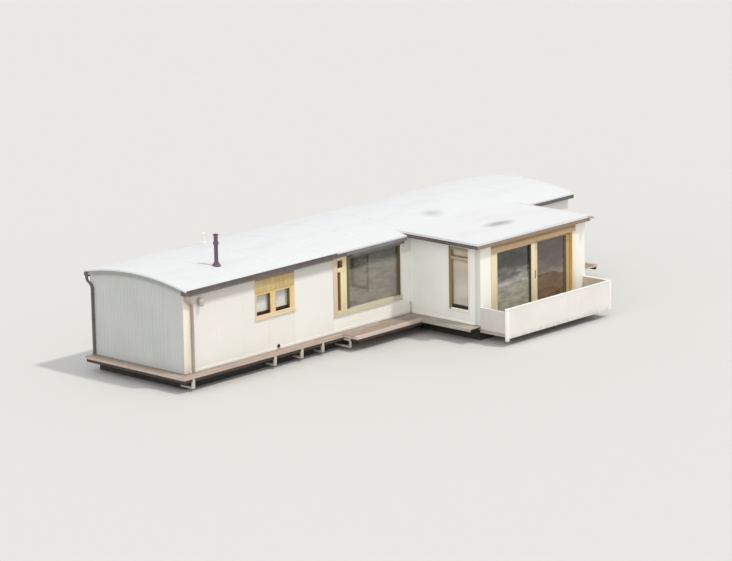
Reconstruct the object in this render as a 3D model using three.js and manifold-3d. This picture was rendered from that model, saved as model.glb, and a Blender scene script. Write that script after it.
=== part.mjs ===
// A houseboat: an arched-roof cabin with a flat-roofed wing and balcony, on a flat-bottomed
// concrete caisson. Millimetres, +X along the main cabin, +Y towards the bank, +Z up.
// The origin is on the caisson's flat bottom, below the middle of its outline.
import * as THREE from 'three';
import { mergeVertices } from 'three/addons/utils/BufferGeometryUtils.js';
import Module from 'manifold-3d';

const wasm = await Module();
wasm.setup();

// Clearance left between pieces that touch
const GAP = 0.3;

// Levels above the caisson's bottom
const HULL_TOP = 1270;
const FLOOR_TOP = 1400;
const DECK_TOP = 1390;
const LEDGE_BOTTOM = 1300;
const JOIST_BOTTOM = 1150;
const EAVE = 3865;
const MAIN_ROOF_THICKNESS = 40;
const WING_ROOF_BOTTOM = 3955;
const WING_ROOF_TOP = 4015;
const EAVE_STRIP = 115;

// Plan of the cabin walls' outer faces
const MAIN = { x0: -8645, x1: 8645, y0: -540, y1: 3350 };
const WING = { x0: 1075, x1: 6025, y0: -3380, y1: MAIN.y0 };
const WALL = 140;
const PARTITION = 80;

// Caisson, set back under the cabin
const HULL = { x0: -8495, x1: 8495, y0: -420, y1: 3230, wingX0: 1225, wingX1: 5875, wingY0: -3230 };
const HULL_CHAMFER = 60;

// Roof overhangs and the main roof's low arch
const MAIN_ROOF = { x0: MAIN.x0 - 84, x1: MAIN.x1 + 84, y0: MAIN.y0 - 208, y1: MAIN.y1 + 208 };
const WING_ROOF = { x0: 725, x1: 6075, y0: -3600, y1: -235 };
const ARCH_RISE = 250;
const ARCH_STEPS = 24;
const ARCH_MIDDLE = (MAIN_ROOF.y0 + MAIN_ROOF.y1) / 2;
const ARCH_HALF_SPAN = (MAIN_ROOF.y1 - MAIN_ROOF.y0) / 2;
const ARCH_RADIUS = (ARCH_HALF_SPAN ** 2 + ARCH_RISE ** 2) / (2 * ARCH_RISE);

// Ledges, walkway and decks outside the walls
const LEDGE_WIDTH = 280;
const END_LEDGE_WIDTH = 300;
const PLATFORM = { x0: -2255, x1: 1075, y0: -1380 };
const WING_LEDGE_X0 = 595;
const END_DECK_X1 = 9790;

// Balcony in front of the wing
const BALCONY_Y0 = -4432;
const PARAPET = { thickness: 62, bottom: 1140, top: 2044, returnBottom: 1300, leftTop: 1975, rightTop: 2044 };
const CAP = { height: 28, proud: 14 };

// Colours, roughness
const FINISH = {
  whitePaint: [0xece9df, 0.6],
  whiteRoof: [0xf0f0f0, 0.7],
  darkTrim: [0x5c5751, 0.6],
  yellowVarnish: [0xd8b774, 0.45],
  greyDeck: [0xb4a292, 0.85],
  tarredHull: [0x1d1a17, 0.8],
  floorWood: [0x9c8468, 0.7],
  innerWall: [0xd8d4ca, 0.8],
  glass: [0x6f6a60, 0.08],
  darkMetal: [0x4a3f45, 0.5],
  tanPipe: [0xb2a092, 0.6],
  greyMetal: [0x8f8f8f, 0.4],
  greyBlind: [0x84827d, 0.7],
  netCloth: [0xe6e3dc, 0.9],
  blindCloth: [0xc8bba6, 0.85],
};

const houseboat = new THREE.Group();

// Solids from closed three.js geometries, and back
function toSolid(geometry) {
  const bare = geometry.index ? geometry.toNonIndexed() : geometry.clone();
  bare.deleteAttribute('normal');
  bare.deleteAttribute('uv');
  const merged = mergeVertices(bare, 1e-3);
  return new wasm.Manifold(new wasm.Mesh({
    numProp: 3,
    vertProperties: new Float32Array(merged.attributes.position.array),
    triVerts: new Uint32Array(merged.index.array),
  }));
}

function toGeometry(solid) {
  const mesh = solid.getMesh();
  const geometry = new THREE.BufferGeometry();
  geometry.setAttribute('position', new THREE.BufferAttribute(new Float32Array(mesh.vertProperties), 3));
  geometry.setIndex(new THREE.BufferAttribute(new Uint32Array(mesh.triVerts), 1));
  geometry.computeVertexNormals();
  return geometry;
}

function add(name, solid, finish) {
  const [color, roughness] = FINISH[finish];
  const material = new THREE.MeshStandardMaterial({ color, roughness, metalness: 0 });
  const mesh = new THREE.Mesh(toGeometry(solid), material);
  mesh.name = name;
  houseboat.add(mesh);
}

// Shapes
function block(x0, x1, y0, y1, z0, z1) {
  const geometry = new THREE.BoxGeometry(x1 - x0, y1 - y0, z1 - z0);
  return toSolid(geometry.translate((x0 + x1) / 2, (y0 + y1) / 2, (z0 + z1) / 2));
}

function joined(solids) {
  return solids.reduce((whole, solid) => whole.add(solid));
}

function without(solid, cuts) {
  return cuts.reduce((rest, cut) => rest.subtract(cut), solid);
}

// A plan outline [x, y] extruded from z0 to z1
function slab(outline, z0, z1) {
  const shape = new THREE.Shape(outline.map(([x, y]) => new THREE.Vector2(x, y)));
  const geometry = new THREE.ExtrudeGeometry(shape, { depth: z1 - z0, bevelEnabled: false });
  return toSolid(geometry.translate(0, 0, z0));
}

// A section [y, z] extruded along X
function alongX(section, x0, x1) {
  const shape = new THREE.Shape(section.map(([y, z]) => new THREE.Vector2(y, z)));
  const geometry = new THREE.ExtrudeGeometry(shape, { depth: x1 - x0, bevelEnabled: false });
  const turn = new THREE.Matrix4().makeBasis(
    new THREE.Vector3(0, 1, 0), new THREE.Vector3(0, 0, 1), new THREE.Vector3(1, 0, 0));
  return toSolid(geometry.applyMatrix4(turn).translate(x0, 0, 0));
}

// A profile [radius, height] turned about a vertical axis
function turned(profile, x, y, z, sides = 16) {
  const points = profile.map(([radius, height]) => new THREE.Vector2(radius, height));
  const geometry = new THREE.LatheGeometry(points, sides);
  return toSolid(geometry.rotateX(Math.PI / 2).translate(x, y, z));
}

// A round bar along a route with rounded bends
function pipe(route, radius, sides = 10, steps = 28) {
  const points = route.map(([x, y, z]) => new THREE.Vector3(x, y, z));
  const path = new THREE.CurvePath();
  const bend = radius * 1.6;
  let start = points[0];
  for (let i = 1; i < points.length - 1; i += 1) {
    const before = points[i].clone().lerp(points[i - 1], bend / points[i].distanceTo(points[i - 1]));
    const after = points[i].clone().lerp(points[i + 1], bend / points[i].distanceTo(points[i + 1]));
    path.add(new THREE.LineCurve3(start, before));
    path.add(new THREE.QuadraticBezierCurve3(before, points[i], after));
    start = after;
  }
  path.add(new THREE.LineCurve3(start, points.at(-1)));
  const ring = new THREE.Shape();
  ring.absarc(0, 0, radius, 0, 2 * Math.PI);
  const geometry = new THREE.ExtrudeGeometry(ring, {
    curveSegments: sides, steps, bevelEnabled: false, extrudePath: path,
  });
  return toSolid(geometry);
}

// The arch's height over the eave at y, as points along it from y0 to y1
function archHeight(y) {
  const drop = ARCH_RADIUS - Math.sqrt(ARCH_RADIUS ** 2 - (y - ARCH_MIDDLE) ** 2);
  return ARCH_RISE - drop;
}

function archPoints(y0, y1, base) {
  const points = [];
  for (let i = 0; i <= ARCH_STEPS; i += 1) {
    const y = y0 + ((y1 - y0) * i) / ARCH_STEPS;
    points.push([y, base + archHeight(y)]);
  }
  return points;
}

// A curved band under the arch, between two heights measured at the eave
function archBand(x0, x1, y0, y1, low, high) {
  const under = archPoints(y1, y0, low);
  const over = archPoints(y0, y1, high);
  return alongX([...over, ...under], x0, x1);
}

const underMainRoof = alongX([
  ...archPoints(MAIN_ROOF.y0, MAIN_ROOF.y1, EAVE - GAP),
  [MAIN_ROOF.y1, 0], [MAIN_ROOF.y0, 0],
], MAIN_ROOF.x0, MAIN_ROOF.x1);

const overMainRoof = alongX([
  ...archPoints(MAIN_ROOF.y0, MAIN_ROOF.y1, EAVE + MAIN_ROOF_THICKNESS + GAP),
  [MAIN_ROOF.y1, EAVE * 2], [MAIN_ROOF.y0, EAVE * 2],
], MAIN_ROOF.x0, MAIN_ROOF.x1);

// Caisson: a T-shaped concrete box with a chamfered bottom edge
function hullOutline(inset) {
  const h = HULL;
  return [
    [h.x0 + inset, h.y0 + inset], [h.wingX0 + inset, h.y0 + inset],
    [h.wingX0 + inset, h.wingY0 + inset], [h.wingX1 - inset, h.wingY0 + inset],
    [h.wingX1 - inset, h.y0 + inset], [h.x1 - inset, h.y0 + inset],
    [h.x1 - inset, h.y1 - inset], [h.x0 + inset, h.y1 - inset],
  ];
}

function addHull() {
  const upper = slab(hullOutline(0), HULL_CHAMFER, HULL_TOP);
  const foot = slab(hullOutline(HULL_CHAMFER), 0, HULL_CHAMFER);
  add('hull', upper.add(foot), 'tarredHull');
}

function addFloor() {
  add('floor', slab([
    [MAIN.x0, MAIN.y0], [WING.x0, MAIN.y0], [WING.x0, WING.y0], [WING.x1, WING.y0],
    [WING.x1, MAIN.y0], [MAIN.x1, MAIN.y0], [MAIN.x1, MAIN.y1], [MAIN.x0, MAIN.y1],
  ], HULL_TOP + GAP, FLOOR_TOP), 'floorWood');
}

// Ledges and decks, fixed to the floor's edge
function addDecks() {
  const endX = MAIN.x0 - END_LEDGE_WIDTH;
  const nearY = MAIN.y0 - LEDGE_WIDTH;
  const wallY = MAIN.y0 - GAP;
  add('side_ledge', slab([
    [endX, nearY], [PLATFORM.x0 - GAP, nearY], [PLATFORM.x0 - GAP, wallY],
    [MAIN.x0 - GAP, wallY], [MAIN.x0 - GAP, MAIN.y1], [endX, MAIN.y1],
  ], LEDGE_BOTTOM, DECK_TOP), 'greyDeck');
  add('walkway_platform', slab([
    [PLATFORM.x0, PLATFORM.y0], [PLATFORM.x1 - GAP, PLATFORM.y0],
    [PLATFORM.x1 - GAP, wallY], [PLATFORM.x0, wallY],
  ], LEDGE_BOTTOM, DECK_TOP), 'greyDeck');
  add('wing_ledge', block(
    WING_LEDGE_X0, WING.x0 - GAP, WING.y0, PLATFORM.y0 - GAP, LEDGE_BOTTOM, DECK_TOP), 'greyDeck');
  add('side_ledge_right', block(
    WING.x1 + GAP, MAIN.x1, nearY, wallY, LEDGE_BOTTOM, DECK_TOP), 'greyDeck');
  add('end_deck', block(
    MAIN.x1 + GAP, END_DECK_X1, nearY, MAIN.y1, LEDGE_BOTTOM, DECK_TOP), 'greyDeck');
}

// Bearers: a stringer under each outer edge, arms back to the caisson, and deep brackets
const BEARER = { inset: 20, width: 70, armWidth: 60, depth: 90 };
const BRACKET = { width: 100, thickness: 60, bottom: 1000, foot: 50, cornerReach: 120, sideY: -1070 };
const BRACKETS_X = [-5225, -4085, -3185];
const LEDGE_ARMS_X = [-7230, -6100];
const PLATFORM_ARMS_X = [-1145, -45, 915];
const END_ARMS_Y = [-380, 1400, 3130];

function addBearers() {
  const b = BEARER;
  const top = LEDGE_BOTTOM - GAP;
  const low = top - b.depth;
  const hullNear = HULL.y0 - GAP;
  const nearY = MAIN.y0 - LEDGE_WIDTH + b.inset;
  const leftX = MAIN.x0 - END_LEDGE_WIDTH + b.inset;
  const platformX = PLATFORM.x0 + b.inset;
  const platformY = PLATFORM.y0 + b.inset;
  const platformEnd = PLATFORM_ARMS_X.at(-1) + b.armWidth;
  const arm = (x, y0) => block(x, x + b.armWidth, y0, hullNear, low, HULL_TOP);
  const endArm = (x0, x1, y) => block(x0, x1, y, y + b.armWidth, low, HULL_TOP);
  const bracket = (x, width, y0, y1) => [
    block(x, x + width, y0, y0 + BRACKET.thickness, BRACKET.bottom, top),
    block(x, x + width, y0, y1, BRACKET.bottom, BRACKET.bottom + BRACKET.foot),
    block(x, x + width, y0, y1, low, HULL_TOP),
  ];
  const corner = HULL.x0 - GAP - BRACKET.width;
  add('ledge_bearers', joined([
    block(leftX, platformX + b.armWidth, nearY, nearY + b.width, low, top),
    block(leftX, leftX + b.width, nearY, MAIN.y1 - b.inset, low, top),
    block(platformX, platformEnd, platformY, platformY + b.width, low, top),
    ...LEDGE_ARMS_X.map((x) => arm(x, nearY)),
    ...[platformX, ...PLATFORM_ARMS_X].map((x) => arm(x, platformY)),
    ...END_ARMS_Y.map((y) => endArm(leftX, HULL.x0 - GAP, y)),
    ...BRACKETS_X.flatMap((x) => bracket(x, BRACKET.width, nearY, hullNear)),
    ...bracket(corner, BRACKET.width, nearY, HULL.y0 + BRACKET.cornerReach),
    ...bracket(platformX, b.armWidth, BRACKET.sideY, hullNear),
  ]), 'whitePaint');
  const railX = END_DECK_X1 - b.inset - b.width;
  add('end_deck_bearers', joined([
    block(railX, railX + b.width, nearY, MAIN.y1 - b.inset, low, top),
    ...END_ARMS_Y.map((y) => endArm(HULL.x1 + GAP, railX + b.width, y)),
  ]), 'whitePaint');
}

function addBalcony() {
  const p = PARAPET;
  const inner = p.thickness;
  add('balcony_deck', block(WING.x0 + inner + GAP, WING.x1 - inner - GAP,
    BALCONY_Y0 + inner + GAP, WING.y0 - GAP, HULL_TOP + GAP, DECK_TOP), 'greyDeck');
  const ledger = block(HULL.wingX0, HULL.wingX1, HULL.wingY0 - 60 - GAP, HULL.wingY0 - GAP,
    JOIST_BOTTOM, HULL_TOP);
  const count = 6;
  const joists = [];
  for (let i = 0; i < count; i += 1) {
    const x = HULL.wingX0 + ((HULL.wingX1 - HULL.wingX0 - 80) * i) / (count - 1);
    joists.push(block(x, x + 80, BALCONY_Y0 + inner + GAP, HULL.wingY0 - GAP, JOIST_BOTTOM, HULL_TOP));
  }
  add('balcony_joists', joined([ledger, ...joists]), 'tarredHull');
  const front = block(WING.x0, WING.x1, BALCONY_Y0, BALCONY_Y0 + inner, p.bottom, p.top);
  const left = block(WING.x0, WING.x0 + inner, BALCONY_Y0, WING.y0 - GAP, p.returnBottom, p.leftTop);
  const right = block(WING.x1 - inner, WING.x1, BALCONY_Y0, WING.y0 - GAP, p.returnBottom, p.rightTop);
  add('balcony_parapet', joined([front, left, right]), 'whitePaint');
  add('parapet_cap', block(WING.x0 - CAP.proud, WING.x1 + CAP.proud, BALCONY_Y0 - CAP.proud,
    BALCONY_Y0 + inner + CAP.proud, p.top + GAP, p.top + CAP.height), 'whitePaint');
}

// Windows and doors, by wall. u runs along the wall, from and to are the frame's outer size,
// panes are the sight sizes [u0, u1, z0, z1], and sheet is the glass behind them.
const NEAR = { axis: 'x', face: MAIN.y0, inward: 1 };
const FAR = { axis: 'x', face: MAIN.y1, inward: -1 };
const WING_FRONT = { axis: 'x', face: WING.y0, inward: 1 };
const WING_LEFT = { axis: 'y', face: WING.x0, inward: 1 };
const RIGHT_END = { axis: 'y', face: MAIN.x1, inward: -1 };

const FRAME = { proud: 15, depth: 115, glassFront: 80, glassThickness: 14, rebate: 12 };

const WINDOWS = [
  { name: 'bedroom_window', wall: NEAR, from: -5720, to: -4065, bottom: 2440, top: 3700,
    panes: [[-5665, -5085, 2530, 3170], [-4865, -4265, 2530, 3170]],
    rail: { from: -5700, to: -4230, bottom: 3205, top: 3235, depth: 150 } },
  { name: 'living_window', wall: NEAR, from: -2385, to: 660, bottom: 1890, top: 3690,
    panes: [[-2200, -2070, 2060, 3240], [-2200, -1970, 3370, 3600], [-1800, 600, 2020, 3600]] },
  { name: 'wing_side_window', wall: WING_LEFT, from: -2960, to: -2130, bottom: 1745, top: 3720,
    panes: [[-2905, -2210, 1825, 3340], [-2905, -2210, 3420, 3640]],
    rail: { from: -2925, to: -2190, bottom: 3660, top: 3690, depth: 138 } },
  { name: 'bank_window_left', wall: FAR, from: -6300, to: -4800, bottom: 2300, top: 3600,
    panes: [[-6210, -5590, 2390, 3510], [-5510, -4890, 2390, 3510]] },
  { name: 'bank_window_right', wall: FAR, from: 1400, to: 3500, bottom: 2300, top: 3600,
    panes: [[1490, 2410, 2390, 3510], [2490, 3410, 2390, 3510]] },
];

// Cloth that hangs below a window's rail
const HUNG_CLOTH = [
  { name: 'bedroom_curtain', window: 'bedroom_window', v0: 122, v1: 150, bottom: 2490, finish: 'netCloth' },
  { name: 'wing_side_blind', window: 'wing_side_window', v0: 122, v1: 134, bottom: 1800, finish: 'blindCloth' },
];

// A box in a wall's own terms: u along it, v inward from its outer face
function inWall(wall, u0, u1, v0, v1, z0, z1) {
  const a = wall.face + wall.inward * v0;
  const b = wall.face + wall.inward * v1;
  const low = Math.min(a, b);
  const high = Math.max(a, b);
  return wall.axis === 'x' ? block(u0, u1, low, high, z0, z1) : block(low, high, u0, u1, z0, z1);
}

function addWindow({ name, wall, from, to, bottom, top, panes, rail }) {
  const f = FRAME;
  const body = inWall(wall, from + GAP, to - GAP, -f.proud, f.depth, bottom + GAP, top - GAP);
  const sights = panes.map(([u0, u1, z0, z1]) => inWall(wall, u0, u1, -f.proud - 5, f.depth + 5, z0, z1));
  const pocket = [
    Math.min(...panes.map((p) => p[0])) - f.rebate, Math.max(...panes.map((p) => p[1])) + f.rebate,
    Math.min(...panes.map((p) => p[2])) - f.rebate, Math.max(...panes.map((p) => p[3])) + f.rebate,
  ];
  const rebate = inWall(wall, pocket[0], pocket[1], f.glassFront, f.depth + 5, pocket[2], pocket[3]);
  const rails = rail
    ? [inWall(wall, rail.from, rail.to, f.depth - 1, rail.depth, rail.bottom, rail.top)] : [];
  add(`${name}_frame`, joined([without(body, [...sights, rebate]), ...rails]), 'yellowVarnish');
  const v0 = f.glassFront + GAP;
  add(`${name}_glass`, inWall(wall, pocket[0] + GAP, pocket[1] - GAP, v0, v0 + f.glassThickness,
    pocket[2] + GAP, pocket[3] - GAP), 'glass');
}

function addHungCloth({ name, window, v0, v1, bottom, finish }) {
  const { wall, rail } = WINDOWS.find((w) => w.name === window);
  add(name, inWall(wall, rail.from + 5, rail.to - 5, v0, v1, bottom, rail.bottom - GAP), finish);
}

function openingsIn(wall) {
  return WINDOWS.filter((w) => w.wall === wall)
    .map((w) => inWall(wall, w.from, w.to, -5, WALL + 5, w.bottom, w.top));
}

// Wing front: a fixed pane on the left, and a door leaf that slides behind it
const FRONT = {
  x0: 1570, x1: 5570, top: 3780, head: 210, paneHead: 250, sill: 50, sillDepth: 138,
  paneX0: 1825, paneX1: 3440, doorX0: 3605, doorX1: 5410, depth: 80, glassFront: 60,
};
const LEAF = {
  x0: 3560, x1: 5455, glassX0: 3850, glassX1: 5150, front: 88, thickness: 46,
  bottom: 1456, top: 3618, bottomRail: 150, topRail: 130, glassFront: 16, glassThickness: 14,
  rollerLength: 90, rollerInset: 200,
};

function addWingFront() {
  const f = FRONT;
  const body = inWall(WING_FRONT, f.x0 + GAP, f.x1 - GAP, -FRAME.proud, f.depth, FLOOR_TOP + GAP, f.top - GAP);
  const sill = inWall(WING_FRONT, f.x0 + GAP, f.x1 - GAP, f.depth - 1, f.sillDepth, FLOOR_TOP + GAP,
    FLOOR_TOP + f.sill);
  const low = FLOOR_TOP + f.sill;
  const paneTop = f.top - f.paneHead;
  const pane = inWall(WING_FRONT, f.paneX0, f.paneX1, -20, f.depth + 5, low + 60, paneTop);
  const door = inWall(WING_FRONT, f.doorX0, f.doorX1, -20, f.depth + 5, low, f.top - f.head);
  const r = FRAME.rebate;
  const rebate = inWall(WING_FRONT, f.paneX0 - r, f.paneX1 + r, f.glassFront, f.depth + 5,
    low + 60 - r, paneTop + r);
  add('wing_front_frame', without(body, [pane, door, rebate]).add(sill), 'yellowVarnish');
  add('wing_front_glass', inWall(WING_FRONT, f.paneX0 - r + GAP, f.paneX1 + r - GAP, f.glassFront + GAP,
    f.glassFront + GAP + FRAME.glassThickness, low + 60 - r + GAP, paneTop + r - GAP), 'glass');
}

function addSlidingDoor() {
  const l = LEAF;
  const z0 = l.bottom + l.bottomRail;
  const z1 = l.top - l.topRail;
  const r = FRAME.rebate;
  const body = inWall(WING_FRONT, l.x0, l.x1, l.front, l.front + l.thickness, l.bottom, l.top);
  const sight = inWall(WING_FRONT, l.glassX0, l.glassX1, l.front - 5, l.front + l.thickness + 5, z0, z1);
  const rebate = inWall(WING_FRONT, l.glassX0 - r, l.glassX1 + r, l.front + l.glassFront,
    l.front + l.thickness + 5, z0 - r, z1 + r);
  const rollerShoe = (x) => inWall(WING_FRONT, x, x + l.rollerLength, l.front + 8, l.front + l.thickness - 8,
    FLOOR_TOP + FRONT.sill + GAP, l.bottom + 1);
  const shoes = [rollerShoe(l.x0 + l.rollerInset), rollerShoe(l.x1 - l.rollerInset - l.rollerLength)];
  add('sliding_door_leaf', joined([without(body, [sight, rebate]), ...shoes]), 'yellowVarnish');
  const v = l.front + l.glassFront + GAP;
  add('sliding_door_glass', inWall(WING_FRONT, l.glassX0 - r + GAP, l.glassX1 + r - GAP, v,
    v + l.glassThickness, z0 - r + GAP, z1 + r - GAP), 'glass');
}

// Entrance door in the right end wall, opening outward over the end deck
const ENTRANCE = {
  y0: 900, y1: 1900, top: 3560, frame: 60, threshold: 30, gap: 6,
  leafFront: -6, leafThickness: 54, handleY: 1760, handleZ: 2420,
  hingeX: MAIN.x1 + 15, hingeY: 963, hingeHeights: [1650, 2450, 3250],
};
const KNUCKLE = { radius: 8, height: 45 };

// One knuckle of a hinge on its vertical axis, with the flap that fixes it at y0 to y1
function knuckle(z, y0, y1, flapX) {
  const e = ENTRANCE;
  const k = KNUCKLE;
  const barrel = turned([[0, 0], [k.radius, 0], [k.radius, k.height], [0, k.height]], e.hingeX, e.hingeY, z, 12);
  return barrel.add(block(flapX, e.hingeX, y0, y1, z, z + k.height));
}

function addEntrance() {
  const e = ENTRANCE;
  const outer = inWall(RIGHT_END, e.y0 + GAP, e.y1 - GAP, 0, 120, FLOOR_TOP + GAP, e.top - GAP);
  const inner = inWall(RIGHT_END, e.y0 + e.frame, e.y1 - e.frame, -5, 125, FLOOR_TOP + e.threshold,
    e.top - e.frame);
  const lowKnuckles = e.hingeHeights.map((z) => knuckle(z, e.hingeY - 45, e.hingeY, MAIN.x1 - 1));
  add('entrance_frame', joined([outer.subtract(inner), ...lowKnuckles]), 'yellowVarnish');
  const y0 = e.y0 + e.frame + e.gap;
  const y1 = e.y1 - e.frame - e.gap;
  const z0 = FLOOR_TOP + e.threshold + e.gap;
  const z1 = e.top - e.frame - e.gap;
  const leaf = inWall(RIGHT_END, y0, y1, e.leafFront, e.leafFront + e.leafThickness, z0, z1);
  const light = inWall(RIGHT_END, y0 + 180, y1 - 180, e.leafFront - 5, e.leafFront + 22, z1 - 900, z1 - 160);
  const lightBack = inWall(RIGHT_END, y0 + 180, y1 - 180, e.leafFront + 34, e.leafFront + 60, z1 - 900, z1 - 160);
  const highKnuckles = e.hingeHeights.map((z) => knuckle(z + KNUCKLE.height + GAP, e.hingeY + 4, e.hingeY + 48,
    MAIN.x1 - e.leafFront - 1));
  add('entrance_door', joined([without(leaf, [light, lightBack]), ...highKnuckles]), 'yellowVarnish');
  const face = MAIN.x1 - e.leafFront + GAP;
  const plate = block(face, face + 8, e.handleY - 22, e.handleY + 22, e.handleZ - 110, e.handleZ + 110);
  const neck = block(face, face + 52, e.handleY - 9, e.handleY + 9, e.handleZ - 9, e.handleZ + 9);
  const lever = block(face + 36, face + 52, e.handleY - 120, e.handleY + 9, e.handleZ - 9, e.handleZ + 9);
  add('entrance_handle', joined([plate, neck, lever]), 'greyMetal');
}

// Cabin walls, split where the real panels meet
function addWalls() {
  const low = FLOOR_TOP + GAP;
  const high = EAVE + ARCH_RISE;
  const m = MAIN;
  const wingInner = { x0: WING.x0 + WALL, x1: WING.x1 - WALL };
  const nearCuts = openingsIn(NEAR);
  const lower = (solid) => solid.intersect(underMainRoof);
  add('near_wall_left', lower(without(
    block(m.x0, wingInner.x0, m.y0, m.y0 + WALL, low, high), nearCuts)), 'whitePaint');
  add('near_wall_right', lower(block(wingInner.x1, m.x1, m.y0, m.y0 + WALL, low, high)), 'whitePaint');
  add('wing_header', lower(block(wingInner.x0 + GAP, wingInner.x1 - GAP, m.y0, m.y0 + WALL, 3650, high)),
    'innerWall');
  add('far_wall', lower(without(
    block(m.x0, m.x1, m.y1 - WALL, m.y1, low, high), openingsIn(FAR))), 'whitePaint');
  const gable = (x0) => block(x0, x0 + WALL, m.y0 + WALL + GAP, m.y1 - WALL - GAP, low, high + ARCH_RISE);
  add('left_end_wall', lower(gable(m.x0)), 'whitePaint');
  const e = ENTRANCE;
  const doorway = block(m.x1 - WALL - 5, m.x1 + 5, e.y0, e.y1, low - 5, e.top);
  add('right_end_wall', lower(gable(m.x1 - WALL).subtract(doorway)), 'whitePaint');

  const wingTop = WING_ROOF_BOTTOM - GAP;
  const back = MAIN.y0 - GAP;
  add('wing_wall_left', without(
    block(WING.x0, WING.x0 + WALL, WING.y0, back, low, wingTop), openingsIn(WING_LEFT)), 'whitePaint');
  add('wing_wall_right', block(WING.x1 - WALL, WING.x1, WING.y0, back, low, wingTop), 'whitePaint');
  const f = FRONT;
  const frontHole = block(f.x0, f.x1, WING.y0 - 5, WING.y0 + WALL + 5, low - 5, f.top);
  add('wing_wall_front', block(wingInner.x0 + GAP, wingInner.x1 - GAP, WING.y0, WING.y0 + WALL, low, wingTop)
    .subtract(frontHole), 'whitePaint');

  const passage = { width: 850, height: 2050 };
  for (const [name, x, y] of [['partition_left', -3245, 1300], ['partition_right', 6355, 1000]]) {
    const sheet = block(x, x + PARTITION, m.y0 + WALL + GAP, m.y1 - WALL - GAP, low, high + ARCH_RISE);
    const way = block(x - 5, x + PARTITION + 5, y, y + passage.width, low - 5, FLOOR_TOP + passage.height);
    add(name, lower(sheet.subtract(way)), 'innerWall');
  }
}

// Roofs with a dark trim board and soffit under their edges
function addRoofs() {
  const r = MAIN_ROOF;
  const w = WING_ROOF;
  const arch = archBand(r.x0, r.x1, r.y0, r.y1, EAVE, EAVE + MAIN_ROOF_THICKNESS);
  const wingNotch = block(w.x0 - GAP, w.x1 + GAP, r.y0 - 5, MAIN.y0, EAVE - 50, WING_ROOF_TOP);
  const ridge = ARCH_MIDDLE;
  const half = (y0, y1) => block(r.x0 - 5, r.x1 + 5, y0, y1, 0, EAVE * 2);
  add('main_roof_near', arch.intersect(half(r.y0 - 5, ridge - GAP / 2)).subtract(wingNotch), 'whiteRoof');
  add('main_roof_far', arch.intersect(half(ridge + GAP / 2, r.y1 + 5)), 'whiteRoof');
  const flat = block(w.x0, w.x1, w.y0, w.y1, WING_ROOF_BOTTOM, WING_ROOF_TOP);
  const lap = flat.intersect(overMainRoof);
  const front = flat.intersect(block(w.x0, w.x1, w.y0, MAIN.y0, 0, WING_ROOF_TOP));
  add('wing_roof', front.add(lap), 'whiteRoof');

  const inset = 14;
  const low = EAVE - EAVE_STRIP;
  const eave = (x0, x1, y0, y1) => block(x0, x1, y0, y1, low, EAVE * 2).intersect(underMainRoof);
  add('near_eave_left', eave(r.x0 + inset, w.x0 - GAP, r.y0 + inset, MAIN.y0 - GAP), 'darkTrim');
  add('near_eave_right', eave(w.x1 + GAP, r.x1 - inset, r.y0 + inset, MAIN.y0 - GAP), 'darkTrim');
  add('far_eave', eave(r.x0 + inset, r.x1 - inset, MAIN.y1 + GAP, r.y1 - inset), 'darkTrim');
  const barge = (x0, x1) => archBand(x0, x1, MAIN.y0, MAIN.y1, low, EAVE + 10).intersect(underMainRoof);
  add('left_barge_board', barge(r.x0 + inset, MAIN.x0 - GAP), 'darkTrim');
  add('right_barge_board', barge(MAIN.x1 + GAP, r.x1 - inset), 'darkTrim');

  const stripTop = WING_ROOF_BOTTOM - GAP;
  const stripLow = WING_ROOF_BOTTOM - EAVE_STRIP;
  const backY = MAIN.y0 - GAP;
  const whole = block(w.x0 + inset, w.x1 - inset, w.y0 + inset, backY, stripLow, stripTop);
  const walls = block(WING.x0 - GAP, WING.x1 + GAP, WING.y0 - GAP, backY + 5, stripLow - 5, stripTop + 5);
  add('wing_eave', whole.subtract(walls), 'darkTrim');
}

// Things on the roof and walls
const CHIMNEY = { x: -6400, y: 330, top: 5040, collar: 310 };
const VENT = { x: -4355, y: 2930, top: 4370 };
const LAMP = { x: -8015, z: 3450, reach: 106 };
const BLIND = { x0: -1610, x1: 700, z0: 3640, z1: 3745, depth: 110 };

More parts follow.
